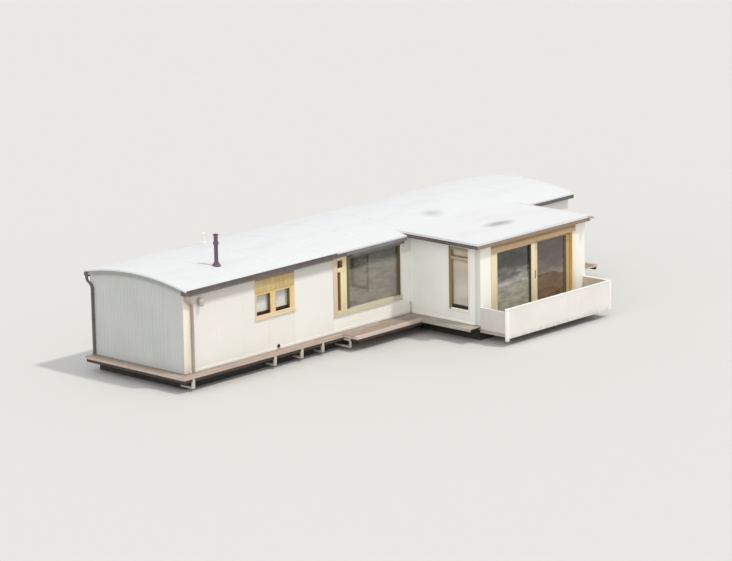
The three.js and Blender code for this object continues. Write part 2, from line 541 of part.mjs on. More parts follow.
function addFittings() {
  const c = CHIMNEY;
  const foot = EAVE + MAIN_ROOF_THICKNESS + ARCH_RISE - 120;
  const high = c.top - foot;
  const collar = high - c.collar;
  const flue = turned([
    [0, 0], [130, 0], [130, 90], [78, 190], [60, 200], [60, collar], [86, collar + 5],
    [86, collar + 80], [60, collar + 85], [60, high - 40], [82, high - 30], [82, high], [0, high],
  ], c.x, c.y, foot);
  add('chimney', flue.intersect(overMainRoof), 'darkMetal');
  const v = VENT;
  const base = EAVE + MAIN_ROOF_THICKNESS;
  const tall = v.top - base;
  const vent = turned([
    [0, 0], [70, 0], [70, 150], [42, 160], [42, tall - 60], [62, tall - 50], [62, tall - 12], [0, tall],
  ], v.x, v.y, base);
  add('roof_vent', vent.intersect(overMainRoof), 'whitePaint');

  const wallY = MAIN.y0 - GAP;
  const l = LAMP;
  const plate = block(l.x - 70, l.x + 70, wallY - 16, wallY, l.z - 90, l.z + 90);
  const arm = block(l.x - 18, l.x + 18, wallY - l.reach, wallY, l.z + 20, l.z + 50);
  const shade = turned([[0, -120], [68, -120], [84, -90], [84, 60], [62, 92], [0, 112]], l.x, wallY - l.reach, l.z);
  add('wall_lamp', joined([plate, arm, shade]), 'greyMetal');

  const b = BLIND;
  add('blind_cassette', block(b.x0, b.x1, wallY - b.depth, wallY - FRAME.proud, b.z0, b.z1), 'greyBlind');

  const soffitZ = EAVE - EAVE_STRIP - GAP;
  const pipeY = MAIN.y0 - 50;
  const nearRoute = [
    [MAIN.x0 - 20, MAIN.y0 - 130, soffitZ], [MAIN.x0 - 20, MAIN.y0 - 130, soffitZ - 110],
    [MAIN.x0 + 315, pipeY, 3420], [MAIN.x0 + 315, pipeY, DECK_TOP + 40],
  ];
  add('near_downpipe', pipe(nearRoute, 42), 'tanPipe');
  const endX = MAIN.x0 - 50;
  const farRoute = [
    [endX, MAIN.y1 + 110, soffitZ], [endX, MAIN.y1 + 110, soffitZ - 110],
    [endX, MAIN.y1 - 120, 3480], [endX, MAIN.y1 - 120, DECK_TOP + 40],
  ];
  add('far_downpipe', pipe(farRoute, 42), 'darkTrim');

  for (const [name, x] of [['mooring_plate_left', -7000], ['mooring_plate_right', 7000]]) {
    const y = HULL.y1 + GAP;
    const steel = block(x - 150, x + 150, y, y + 15, 960, 1240);
    const eye = block(x - 15, x + 15, y, y + 110, 1040, 1160);
    const hole = block(x - 40, x + 40, y + 45, y + 85, 1075, 1125);
    add(name, steel.add(eye).subtract(hole), 'greyMetal');
  }
}

addHull();
addFloor();
addDecks();
addBearers();
addBalcony();
addWalls();
WINDOWS.forEach(addWindow);
HUNG_CLOTH.forEach(addHungCloth);
addWingFront();
addSlidingDoor();
addEntrance();
addRoofs();
addFittings();

export default houseboat;
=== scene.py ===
"""A houseboat with an arched white roof, a flat-roofed wing and a balcony, afloat at its waterline.

Metres, in the frame's own axes: +X along the cabin, +Y towards the bank, +Z up.
"""
import math

import bmesh
import bpy
from mathutils import Matrix, Vector


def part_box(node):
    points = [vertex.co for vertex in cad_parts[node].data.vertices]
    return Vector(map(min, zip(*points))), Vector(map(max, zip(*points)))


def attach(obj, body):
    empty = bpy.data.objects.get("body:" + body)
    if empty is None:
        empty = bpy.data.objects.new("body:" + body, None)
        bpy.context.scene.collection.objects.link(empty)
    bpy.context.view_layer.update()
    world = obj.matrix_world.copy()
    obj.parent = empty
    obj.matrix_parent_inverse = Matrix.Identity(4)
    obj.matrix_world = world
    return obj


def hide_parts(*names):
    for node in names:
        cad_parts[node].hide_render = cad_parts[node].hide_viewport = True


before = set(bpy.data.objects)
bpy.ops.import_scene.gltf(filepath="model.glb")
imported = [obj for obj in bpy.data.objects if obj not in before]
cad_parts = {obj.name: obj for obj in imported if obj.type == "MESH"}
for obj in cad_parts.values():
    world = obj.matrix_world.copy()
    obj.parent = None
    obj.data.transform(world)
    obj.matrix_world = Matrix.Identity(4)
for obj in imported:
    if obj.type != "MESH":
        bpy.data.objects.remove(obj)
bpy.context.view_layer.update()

# The camera stands where the photograph was taken, some 100 m off the left end with a long lens.
# Its place, turn and focal length were fitted to the edges of the walls, roofs and parapet.
PHOTO_WIDTH = 732
FOCAL_PIXELS = 3495.0
CAMERA_PLACE = Vector((-76.233, -71.015, 27.070))
CAMERA_YAW = math.radians(43.104)
CAMERA_PITCH = math.radians(13.259)
CAMERA_ROLL = math.radians(1.021)

lens = bpy.data.cameras.new("camera")
lens.sensor_width = 36
lens.lens = FOCAL_PIXELS / PHOTO_WIDTH * lens.sensor_width
lens.clip_end = 800
camera = bpy.data.objects.new("camera", lens)
bpy.context.scene.collection.objects.link(camera)
bpy.context.scene.camera = camera
ahead = Vector((math.cos(CAMERA_YAW) * math.cos(CAMERA_PITCH),
                math.sin(CAMERA_YAW) * math.cos(CAMERA_PITCH), -math.sin(CAMERA_PITCH)))
level_right = Vector((math.sin(CAMERA_YAW), -math.cos(CAMERA_YAW), 0))
level_down = ahead.cross(level_right)
right = math.cos(CAMERA_ROLL) * level_right + math.sin(CAMERA_ROLL) * level_down
down = math.cos(CAMERA_ROLL) * level_down - math.sin(CAMERA_ROLL) * level_right
turn = Matrix((right, -down, -ahead)).transposed()
camera.matrix_world = Matrix.Translation(CAMERA_PLACE) @ turn.to_4x4()

# Studio light: a high key from the near side and a little to the right, as the photograph's sun
# stands, a very soft fill from the left and an even pale surround. The pale floor lies at the
# boat's waterline.
WATERLINE = 0.9
FLOOR_HALF = 320


def lamp_from(name, direction, energy, spread, color):
    """A distant lamp shining from a direction, as soft as its spread in degrees."""
    light = bpy.data.lights.new(name, "SUN")
    light.energy = energy
    light.angle = math.radians(spread)
    light.color = color
    holder = bpy.data.objects.new(name, light)
    holder.rotation_mode = "QUATERNION"
    holder.rotation_quaternion = Vector(direction).to_track_quat("Z", "Y")
    bpy.context.scene.collection.objects.link(holder)


lamp_from("key", (0.39, -0.92, 1.73), 1.60, 4, (1.0, 0.965, 0.91))
lamp_from("fill", (-0.90, -0.30, 0.45), 1.0, 75, (0.97, 0.99, 1.0))

surround = bpy.data.worlds.new("surround")
surround.use_nodes = True
surround.node_tree.nodes["Background"].inputs["Color"].default_value = (0.94, 0.965, 1.0, 1)
surround.node_tree.nodes["Background"].inputs["Strength"].default_value = 0.785
bpy.context.scene.world = surround
bpy.context.scene.view_settings.view_transform = "Standard"


def rgb(red, green, blue):
    """A colour as the eye reads it, 0 to 255, in the shader's linear terms."""
    channels = (value / 255 for value in (red, green, blue))
    return tuple(c / 12.92 if c <= 0.04045 else ((c + 0.055) / 1.055) ** 2.4 for c in channels) + (1.0,)


def put(tree, kind, inputs=None, **settings):
    """A shader node with its settings. Each input is a socket to link or a value to keep."""
    made = tree.nodes.new(kind)
    for name, value in settings.items():
        setattr(made, name, value)
    for name, value in (inputs or {}).items():
        if isinstance(value, bpy.types.NodeSocket):
            tree.links.new(value, made.inputs[name])
        else:
            made.inputs[name].default_value = value
    return made


def blended(tree, share, first, second):
    """The colour between two others, at a share that is a value or a socket."""
    return put(tree, "ShaderNodeMix", {0: share, 6: first, 7: second}, data_type="RGBA").outputs[2]


def ranged(tree, value, low, high, out_low=0.0, out_high=1.0):
    """A value spread from one range to another, clamped."""
    spread = put(tree, "ShaderNodeMapRange", {
        "Value": value, "From Min": low, "From Max": high, "To Min": out_low, "To Max": out_high})
    return spread.outputs["Result"]


def computed(tree, operation, first, second, kind="Math"):
    """What a Math or VectorMath node makes of two sockets or values."""
    return put(tree, "ShaderNode" + kind, {0: first, 1: second}, operation=operation).outputs[0]


def stretched_noise(tree, place, stretch, scale, detail=3.0, roughness=0.55):
    """Noise at a scale per metre, drawn out along the axes by a stretch vector."""
    drawn = computed(tree, "MULTIPLY", place, stretch, "VectorMath")
    return put(tree, "ShaderNodeTexNoise", {
        "Vector": drawn, "Scale": scale, "Detail": detail, "Roughness": roughness}).outputs["Fac"]


def effect(name, inputs, relief="Height"):
    """A shader group with no effect yet: its tree, the place on the piece and its inputs."""
    tree = bpy.data.node_groups.new(name, "ShaderNodeTree")
    for label, value in inputs.items():
        kind = "Float" if isinstance(value, float) else "Color" if len(value) == 4 else "Vector"
        socket = tree.interface.new_socket(label, in_out="INPUT", socket_type="NodeSocket" + kind)
        socket.default_value = value
    for label, kind in (("Color", "Color"), ("Roughness", "Float"), (relief, "Float")):
        tree.interface.new_socket(label, in_out="OUTPUT", socket_type="NodeSocket" + kind)
    place = put(tree, "ShaderNodeTexCoord").outputs["Object"]
    return tree, place, tree.nodes.new("NodeGroupInput").outputs


def gives(tree, *sockets):
    """Joins a group's outputs to the sockets that make them, in their order."""
    takers = tree.nodes.new("NodeGroupOutput").inputs
    for socket, taker in zip(sockets, takers):
        tree.links.new(socket, taker)


def new_material(name):
    """A material with its node tree and its shader."""
    made = bpy.data.materials.new(name)
    made.use_nodes = True
    return made, made.node_tree, made.node_tree.nodes["Principled BSDF"]


def finish_material(name, group, values, bump=0.3, bump_size=0.002, **plain):
    """A material whose colour, roughness and bump come from an effect group, the rest plain."""
    made, tree, shader = new_material(name)
    source = put(tree, "ShaderNodeGroup", values, node_tree=group)
    relief = put(tree, "ShaderNodeBump", {
        "Strength": bump, "Distance": bump_size, "Height": source.outputs["Height"]})
    tree.links.new(source.outputs["Color"], shader.inputs["Base Color"])
    tree.links.new(source.outputs["Roughness"], shader.inputs["Roughness"])
    tree.links.new(relief.outputs["Normal"], shader.inputs["Normal"])
    for label, value in plain.items():
        shader.inputs[label.replace("_", " ")].default_value = value
    return made


tree, place, given = effect("weathered_paint_and_shade", {
    "Paint": (0.8, 0.8, 0.8, 1), "Faded": (0.7, 0.7, 0.7, 1), "Dirt And Shade": (0.2, 0.18, 0.15, 1), "Streaks": 0.2,
    "Splash And Shade": 0.3, "Splash From": 1.4, "Splash To": 1.8, "Even": 0.0, "Sheen": 0.5})
paint_effect = tree
patches = ranged(tree, stretched_noise(tree, place, (1, 1, 1), 0.9), 0.35, 0.65)
runs = ranged(tree, stretched_noise(tree, place, (6, 6, 0.45), 1.0, 5), 0.52, 0.78)
height_of = put(tree, "ShaderNodeSeparateXYZ", {0: place}).outputs["Z"]
splash = ranged(tree, height_of, given["Splash To"], given["Splash From"])
spots = ranged(tree, stretched_noise(tree, place, (1, 1, 0.5), 7, 6, 0.7), 0.38, 0.72)
spots = computed(tree, "MAXIMUM", spots, given["Even"])
splash = computed(tree, "MULTIPLY", computed(tree, "MULTIPLY", splash, spots), given["Splash And Shade"])
soiled_and_shaded = computed(tree, "MAXIMUM", computed(tree, "MULTIPLY", runs, given["Streaks"]), splash)
aged = blended(tree, patches, given["Paint"], given["Faded"])
brush = stretched_noise(tree, place, (30, 30, 8), 4, 4)
uneven = ranged(tree, brush, 0.3, 0.7, -0.06, 0.08)
gives(tree, blended(tree, soiled_and_shaded, aged, given["Dirt And Shade"]),
      computed(tree, "ADD", given["Sheen"], uneven), brush)


def painted(name, paint, faded, dirt_and_shade, streaks, sheen=0.5, splash=0.0, splash_z=(1.4, 1.8), even=0.0,
            **more):
    """A paint with a darker colour, used for soiling and for painted shade, full at the first height of
    splash_z and gone at the second.
    """
    return finish_material(name, paint_effect, {
        "Paint": rgb(*paint), "Faded": rgb(*faded), "Dirt And Shade": rgb(*dirt_and_shade), "Streaks": streaks, "Sheen": sheen,
        "Splash And Shade": splash, "Splash From": splash_z[0], "Splash To": splash_z[1], "Even": even}, **more)


PALE_FLOOR = (206, 204, 200)
floor_mesh = bpy.data.meshes.new("studio_floor")
floor_mesh.from_pydata([(x * FLOOR_HALF, y * FLOOR_HALF, WATERLINE)
                        for x, y in ((-1, -1), (1, -1), (1, 1), (-1, 1))], [], [(0, 1, 2, 3)])
studio_floor = bpy.data.objects.new("studio_floor", floor_mesh)
bpy.context.scene.collection.objects.link(studio_floor)
floor_mesh.materials.append(painted("pale_floor", PALE_FLOOR, PALE_FLOOR, PALE_FLOOR, 0.0, 0.8, bump=0.0))


# The caisson is a flat-bottomed box of cast concrete under the cabin and wing, black with bitumen,
# with a band of weed and scale where the water laps it.
def dress(material, *nodes):
    """Puts a material on CAD nodes, whose shapes stay as they are."""
    for name in nodes:
        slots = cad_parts[name].data.materials
        slots.clear()
        slots.append(material)


tar = painted("bitumen_black", (30, 27, 24), (42, 38, 33), (78, 76, 62), 0.25, 0.62, 0.9,
              (WATERLINE, WATERLINE + 0.14), bump=0.5, bump_size=0.006)
dress(tar, "hull")


# The decks are softwood planks on a low frame that is bolted to the edge of the cabin's floor:
# narrow ledges along the cabin, a wider landing before the living room, and a deck at the end.
def link(name, mesh, material, body="boat", smooth_below=30):
    """A new piece of the boat from its mesh, with its material, slot and body."""
    piece = bpy.data.objects.new(name, mesh)
    bpy.context.scene.collection.objects.link(piece)
    mesh.materials.append(material)
    mesh.shade_smooth()
    mesh.set_sharp_from_angle(angle=math.radians(smooth_below))
    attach(piece, body)
    return piece


def mesh_of(name, form, turn_out=True):
    """The finished mesh of a form, with its faces turned outward unless they are so already."""
    if turn_out:
        bmesh.ops.recalc_face_normals(form, faces=form.faces[:])
    mesh = bpy.data.meshes.new(name)
    form.to_mesh(mesh)
    form.free()
    return mesh


def boxes_mesh(name, boxes, rounding=0.002, segments=1):
    """One mesh of many boxes, each from its lowest and highest corner, with rounded edges."""
    form = bmesh.new()
    for low, high in boxes:
        size = Vector(high) - Vector(low)
        middle = (Vector(high) + Vector(low)) / 2
        bmesh.ops.create_cube(form, size=1, matrix=Matrix.LocRotScale(middle, None, size))
    if rounding:
        bmesh.ops.bevel(form, geom=form.edges[:], offset=rounding, segments=segments, affect="EDGES",
                        profile=0.5, clamp_overlap=True)
    return mesh_of(name, form, turn_out=False)


def boxed(name, boxes, material, rounding=0.002, segments=1, body="boat"):
    """A piece of the boat that is made of boxes."""
    return link(name, boxes_mesh(name, boxes, rounding, segments), material, body)


def laid(axis, u, v, z):
    """A box from its spans: u along the axis named, v across it and z upright."""
    if axis == "x":
        return (u[0], v[0], z[0]), (u[1], v[1], z[1])
    return (v[0], u[0], z[0]), (v[1], u[1], z[1])


PLANK = {"width": 0.14, "gap": 0.005, "thickness": 0.028, "length": 3.6, "shortest": 0.4, "scrap": 0.01}


def planking(x, y, top, axis="x"):
    """Plank boxes over a rectangle, laid along an axis, their butt joints staggered."""
    run, across = (x, y) if axis == "x" else (y, x)
    count = max(1, round((across[1] - across[0]) / PLANK["width"]))
    pitch = (across[1] - across[0]) / count
    boxes = []
    for row in range(count):
        v = (across[0] + row * pitch + PLANK["gap"] / 2, across[0] + (row + 1) * pitch - PLANK["gap"] / 2)
        start = run[0]
        end = run[0] + PLANK["length"] * (0.5 + 0.5 * (row % 2))
        while start < run[1] - PLANK["scrap"]:
            stop = min(end, run[1])
            if run[1] - stop < PLANK["shortest"]:
                stop = run[1]
            u = (start + PLANK["gap"] / 4, stop - PLANK["gap"] / 4)
            boxes.append(laid(axis, u, v, (top - PLANK["thickness"], top)))
            start, end = stop, stop + PLANK["length"]
    return boxes


tree, place, given = effect("sawn_timber", {
    "Light": (0.5, 0.4, 0.3, 1), "Dark": (0.3, 0.2, 0.1, 1), "Along": (0.7, 12, 12), "Board Change": 0.5,
    "Sheen": 0.6, "Worn": (0.4, 0.4, 0.4, 1), "Wear": 0.3})
timber_effect = tree
island = put(tree, "ShaderNodeNewGeometry").outputs["Random Per Island"]
shift = put(tree, "ShaderNodeCombineXYZ", {0: island, 1: island, 2: island}).outputs[0]
shift = put(tree, "ShaderNodeVectorMath", {0: shift, "Scale": 23.0}, operation="SCALE").outputs[0]
moved = computed(tree, "ADD", place, shift, "VectorMath")
drawn = computed(tree, "MULTIPLY", moved, given["Along"], "VectorMath")
rings = put(tree, "ShaderNodeTexNoise", {
    "Vector": drawn, "Scale": 1.6, "Detail": 6.0, "Roughness": 0.6, "Distortion": 0.6}).outputs["Fac"]
fibre = put(tree, "ShaderNodeTexNoise", {
    "Vector": drawn, "Scale": 9.0, "Detail": 4.0, "Roughness": 0.7}).outputs["Fac"]
figure = computed(tree, "ADD", rings, fibre)
grain = blended(tree, ranged(tree, figure, 0.75, 1.25), given["Light"], given["Dark"])
varied = blended(tree, computed(tree, "MULTIPLY", island, given["Board Change"]), grain, given["Dark"])
worn = ranged(tree, stretched_noise(tree, place, (1, 1, 1), 2.2, 5, 0.65), 0.45, 0.7)
worn = computed(tree, "MULTIPLY", worn, given["Wear"])
uneven = ranged(tree, fibre, 0.3, 0.7, -0.08, 0.1)
gives(tree, blended(tree, worn, varied, given["Worn"]),
      computed(tree, "ADD", given["Sheen"], uneven), figure)


def timbered(name, light, dark, along, change, sheen, worn, wear, bump=0.2, **more):
    """A timber: its grain's colours and direction, how much its boards differ, its sheen and wear."""
    return finish_material(name, timber_effect, {
        "Light": rgb(*light), "Dark": rgb(*dark), "Along": along, "Board Change": change, "Sheen": sheen,
        "Worn": rgb(*worn), "Wear": wear}, bump, **more)


GRAIN_X = (0.5, 11, 11)
GRAIN_Y = (11, 0.5, 11)
EDGE_X = (0.5, 11, 6)
EDGE_Y = (11, 0.5, 6)
plank_tones = ((196, 180, 166), (126, 109, 97))
plank_wear = (0.6, 0.78, (160, 150, 138), 0.45, 0.5)
deck_along_x = timbered("deck_boards_along", *plank_tones, GRAIN_X, *plank_wear)
deck_along_y = timbered("deck_boards_across", *plank_tones, GRAIN_Y, *plank_wear)
edge_board = timbered("deck_edge_board", (216, 198, 185), (186, 166, 153), EDGE_X, 0.2, 0.7,
                      (176, 160, 146), 0.4, 0.4)
dull_edge = timbered("dull_deck_edge", (206, 188, 176), (177, 158, 146), EDGE_X, 0.2, 0.7,
                     (168, 152, 139), 0.4, 0.4)
worn_nosing = timbered("worn_deck_nosing", (190, 172, 160), (160, 143, 131), EDGE_X, 0.2, 0.7,
                       (166, 150, 138), 0.4, 0.4)
grey_boards = timbered("grey_deck_boards", (190, 182, 168), (150, 142, 130), GRAIN_Y, 0.4, 0.8,
                       (160, 156, 142), 0.5, 0.5)
grey_edge = timbered("grey_deck_edge", (184, 178, 164), (158, 150, 136), EDGE_Y, 0.2, 0.75,
                     (152, 146, 130), 0.4, 0.4)

cabin_left, near_face, cabin_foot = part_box("near_wall_left")[0]
far_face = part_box("far_wall")[1].y
cabin_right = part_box("right_end_wall")[1].x
wing_left, wing_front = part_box("wing_wall_left")[0].xy
wing_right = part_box("wing_wall_right")[1].x
SEAM = 0.002
BATTEN = {"width": 0.05, "inset": 0.03, "spacing": 0.6, "from_end": 0.035, "lift": 0.004}


def deck(node, areas, fascias, nosings, boards=None, edge=None, nosing=None):
    """A planked deck: plank areas as x, y and direction, and edge boards upright and flat as x and y."""
    low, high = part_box(node)
    under = high.z - PLANK["thickness"] - 0.0005
    planks = []
    battens = []
    for x, y, axis in areas:
        planks += planking(x, y, high.z, axis)
        run, across = (x, y) if axis == "x" else (y, x)
        v = (across[0] + BATTEN["inset"], across[1] - BATTEN["inset"])
        span = run[1] - run[0] - 2 * BATTEN["from_end"] - BATTEN["width"]
        count = max(1, round(span / BATTEN["spacing"]))
        for i in range(count + 1):
            at = run[0] + BATTEN["from_end"] + span * i / count
            battens.append(laid(axis, (at, at + BATTEN["width"]), v, (low.z + BATTEN["lift"], under)))
    upright = [laid("x", x, y, (low.z, under)) for x, y in fascias]
    flat = [laid("x", x, y, (high.z - PLANK["thickness"], high.z)) for x, y in nosings]
    edge = edge or edge_board
    top = boxed(node + "_planks", planks, boards or (deck_along_x if areas[0][2] == "x" else deck_along_y),
                0.003, 2)
    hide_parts(node)
    boxed(node + "_battens", battens, tar)
    boxed(node + "_fascia", upright, edge, 0.004, 2)
    boxed(node + "_nosing", flat, nosing or edge, 0.004, 2)


FASCIA = 0.022
FACE = FASCIA - 0.001
NOSING = 0.13
BEHIND = NOSING + SEAM
wall_side = near_face - SEAM
low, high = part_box("side_ledge")
near_y = low.y
inner_y = (near_y + BEHIND, high.y - BEHIND)
deck("side_ledge",
     [((cabin_left - SEAM, high.x), (near_y + BEHIND, wall_side), "x"),
      ((low.x + BEHIND, cabin_left - 2 * SEAM), inner_y, "y")],
     [((low.x, high.x), (near_y, near_y + FACE)),
      ((low.x, low.x + FACE), (near_y + FASCIA, high.y - FASCIA)),
      ((low.x, cabin_left - SEAM), (high.y - FACE, high.y))],
     [((low.x, high.x), (near_y, near_y + NOSING)),
      ((low.x, low.x + NOSING), inner_y),
      ((low.x, cabin_left - SEAM), (high.y - NOSING, high.y))], edge=dull_edge, nosing=worn_nosing)
low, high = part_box("walkway_platform")
corner_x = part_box("wing_ledge")[0].x + NOSING
deck("walkway_platform",
     [((low.x, high.x), (low.y + BEHIND, wall_side), "x"),
      ((corner_x + SEAM, high.x), (low.y, low.y + NOSING), "x")],
     [((low.x, high.x), (low.y, low.y + FACE)),
      ((low.x, low.x + FACE), (low.y + FASCIA, wall_side))],
     [((low.x, corner_x), (low.y, low.y + NOSING))])
low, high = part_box("wing_ledge")
deck("wing_ledge", [((low.x + BEHIND, high.x), (low.y, high.y), "y")],
     [((low.x, low.x + FACE), (low.y, high.y))], [((low.x, low.x + NOSING), (low.y, high.y))],
     grey_boards, grey_edge)
low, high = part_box("side_ledge_right")
deck("side_ledge_right", [((low.x, high.x), (low.y + BEHIND, high.y), "x")],
     [((low.x, high.x), (low.y, low.y + FACE))], [((low.x, high.x), (low.y, low.y + NOSING))])
low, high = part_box("end_deck")
deck("end_deck", [((low.x, high.x - BEHIND), (low.y, high.y), "y")],
     [((low.x, high.x), (low.y, low.y + FACE)),
      ((high.x - FACE, high.x), (low.y + FASCIA, high.y - FASCIA)),
      ((low.x, high.x), (high.y - FACE, high.y))], [((high.x - NOSING, high.x), (low.y, high.y))])
BALCONY_BATTENS = {"count": 4, "spacing": 0.3, "from": 0.01, "to": 0.06}
low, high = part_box("balcony_deck")
balcony = boxed("balcony_planks", planking((low.x, high.x), (low.y, high.y), high.z), deck_along_x,
                0.003, 2)
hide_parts("balcony_deck")
boxed("balcony_battens", [
    ((low.x, low.y + BALCONY_BATTENS["from"] + BALCONY_BATTENS["spacing"] * i, low.z),
     (high.x, low.y + BALCONY_BATTENS["to"] + BALCONY_BATTENS["spacing"] * i,
      high.z - PLANK["thickness"] - 0.001)) for i in range(BALCONY_BATTENS["count"])], tar)

# Under the decks run tarred timber stringers, with arms back to the caisson. Bolted on at five
# places are deep U-shaped brackets of steel, painted white and dulled by the water.
STRINGER = {"width": 0.07, "arm": 0.06, "low": 1.2097, "top": 1.2997, "arm_top": 1.2699}
BRACKET = {"width": 0.1, "low": 1.0, "foot": 0.05, "post": 0.06}
LEDGE_ARMS_X = (-7.230, -6.100)
LANDING_ARMS_X = (-1.145, -0.045, 0.915)
END_ARMS_Y = (-0.380, 1.400, 3.130)
BRACKETS_X = (-5.225, -4.085, -3.185)
HULL_NEAR = -0.4203
LEDGE_LINE = -1.071
LANDING_END = 0.975
IN_FROM_EDGE = 0.02
TOUCH = 0.0003
hull_left = (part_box("hull")[0] - Vector((TOUCH, 0, 0))).x
under_ledge = near_y + IN_FROM_EDGE
left_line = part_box("side_ledge")[0].x + IN_FROM_EDGE
landing_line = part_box("walkway_platform")[0].xy + Vector((IN_FROM_EDGE, IN_FROM_EDGE))
far_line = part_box("side_ledge")[1].y - IN_FROM_EDGE


def beam(x0, x1, y0, y1, top=STRINGER["top"]):
    """A box at the stringers' height."""
    return (x0, y0, STRINGER["low"]), (x1, y1, top)


def arm(x0, x1, y0, y1):
    """A beam at the lower height of the arms."""
    return beam(x0, x1, y0, y1, STRINGER["arm_top"])


def steel_bracket(x, width, y0, y1):
    """The post, foot and upper arm of one U-shaped bracket."""
    behind = y0 + BRACKET["post"]
    return [((x, y0, BRACKET["low"]), (x + width, behind, STRINGER["top"])),
            ((x, behind, BRACKET["low"]), (x + width, y1, BRACKET["low"] + BRACKET["foot"])),
            arm(x, x + width, behind, y1)]


behind_ledge = under_ledge + STRINGER["width"]
behind_landing = landing_line.y + STRINGER["width"]
timber = [beam(left_line, landing_line.x - 0.001, under_ledge, behind_ledge),
          beam(left_line, left_line + STRINGER["width"], behind_ledge, far_line),
          beam(landing_line.x + 0.061, LANDING_END, landing_line.y, behind_landing)]
timber += [arm(x, x + STRINGER["arm"], behind_ledge, HULL_NEAR) for x in LEDGE_ARMS_X]
for x in (landing_line.x, *LANDING_ARMS_X):
    timber.append(arm(x, x + STRINGER["arm"], behind_landing, LEDGE_LINE))
    if x > landing_line.x:
        timber.append(arm(x, x + STRINGER["arm"], LEDGE_LINE, HULL_NEAR))
timber += [arm(left_line + STRINGER["width"], hull_left, y, y + STRINGER["arm"]) for y in END_ARMS_Y]
steel = steel_bracket(hull_left - BRACKET["width"], BRACKET["width"], under_ledge - 0.001, -0.300)
for x in BRACKETS_X:
    steel += steel_bracket(x, BRACKET["width"], under_ledge - 0.001, HULL_NEAR)
steel += steel_bracket(landing_line.x, STRINGER["arm"], LEDGE_LINE + 0.001, HULL_NEAR)

off_white = painted("dulled_white_steel", (206, 196, 186), (190, 180, 170), (110, 92, 74), 0.35,
                    splash=0.6, splash_z=(0.95, 1.35))
dark_timber = timbered("tarred_timber", (74, 62, 52), (44, 36, 30), (0.6, 9, 9), 0.3, 0.75,
                       (96, 84, 72), 0.4, 0.5)
stringers = boxed("ledge_stringers", timber, dark_timber, 0.004)
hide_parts("ledge_bearers")
boxed("ledge_brackets", steel, off_white, 0.004, 2)
dress(dark_timber, "end_deck_bearers")
dress(off_white, "balcony_joists")

# The walls are plywood sheets with white masonry-like paint, and narrower upright boards on the two
# ends. They are nailed over the wall's own frame, cut round the windows, with fine joints between.
# Each wall is the axis it runs along, where its outer face lies and which way is inward
NEAR = ("x", near_face, 1)
FAR = ("x", far_face, -1)
WING_FRONT = ("x", wing_front, 1)
WING_LEFT = ("y", wing_left, 1)
WING_RIGHT = ("y", wing_right, -1)
LEFT_END = ("y", cabin_left, 1)
RIGHT_END = ("y", cabin_right, -1)
CLADDING = 0.006
JOINT = 0.0008
CLEAR = 0.0004
SHEET_WIDTH = 1.22
BOARD_WIDTH = 0.15

roof_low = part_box("main_roof_near")[0]
roof_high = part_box("main_roof_far")[1]
ROOF_SHEET = 0.04
arch_middle = (roof_low.y + roof_high.y) / 2
arch_half = (roof_high.y - roof_low.y) / 2
eave = roof_low.z
arch_rise = roof_high.z - ROOF_SHEET - eave
arch_radius = (arch_half ** 2 + arch_rise ** 2) / (2 * arch_rise)


def on_wall(wall, u0, u1, v0, v1, z0, z1):
    """A box in a wall's own terms: u along it, v inward from its outer face."""
    axis, face, inward = wall
    return laid(axis, (u0, u1), sorted((face + inward * v0, face + inward * v1)), (z0, z1))


def span_on(node, wall):
    """Where a node lies along a wall, from end to end and from foot to head."""
    low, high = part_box(node)
    return (low.x, high.x, low.z, high.z) if wall[0] == "x" else (low.y, high.y, low.z, high.z)


def skinned(name, form, rings):
    """A closed mesh over a row of rings of points, its two ends capped."""
    sides = len(rings[0])
    for first, second in zip(rings, rings[1:]):
        for k in range(sides):
            form.faces.new((first[k], first[(k + 1) % sides], second[(k + 1) % sides], second[k]))
    form.faces.new(rings[0][::-1])
    form.faces.new(rings[-1])
    return mesh_of(name, form)


def arched_band(name, x0, x1, y0, y1, low, high, steps):
    """A band that follows the arch from y0 to y1, between two heights over the roof's underside."""
    form = bmesh.new()
    outline = ((x0, low), (x1, low), (x1, high), (x0, high))
    rows = []
    for i in range(steps + 1):
        y = y0 + (y1 - y0) * i / steps
        z = eave + (arch_rise - arch_radius + math.sqrt(arch_radius ** 2 - (y - arch_middle) ** 2))
        rows.append([form.verts.new((x, y, z + lift)) for x, lift in outline])
    return skinned(name, form, rows)


def carved(mesh, cutter):
    """The mesh with another closed mesh cut out of it."""
    holder = bpy.data.objects.new("holder", mesh)
    tool = bpy.data.objects.new("tool", cutter)
    for item in (holder, tool):
        bpy.context.scene.collection.objects.link(item)
    cut = holder.modifiers.new("cut", "BOOLEAN")
    cut.operation = "DIFFERENCE"
    cut.solver = "EXACT"
    cut.object = tool
    graph = bpy.context.evaluated_depsgraph_get()
    result = bpy.data.meshes.new_from_object(holder.evaluated_get(graph))
    for item in (holder, tool):
        bpy.data.objects.remove(item)
    result.name = mesh.name
    return result


def hole(node, wall, grow=0.001):
    """A box through a wall where a frame stands in it."""
    u0, u1, z0, z1 = span_on(node, wall)
    return on_wall(wall, u0 - grow, u1 + grow, -0.1, 0.1, z0 - grow, z1 + grow)


def cladding(name, wall, u0, u1, top, width, material, *frames, top_cut=None):
    """Sheets or boards over a wall, side by side, with holes cut for the frames in it."""
    count = max(1, round((u1 - u0) / width))
    pitch = (u1 - u0) / count
    boards = [on_wall(wall, u0 + i * pitch + JOINT, u0 + (i + 1) * pitch - JOINT, -CLADDING, -TOUCH,
                      wall_foot, top) for i in range(count)]
    mesh = boxes_mesh(name, boards, 0.0012)
    if frames:
        mesh = carved(mesh, boxes_mesh("holes", [hole(node, wall) for node in frames], 0))
    if top_cut:
        mesh = carved(mesh, top_cut)
    return link(name, mesh, material)


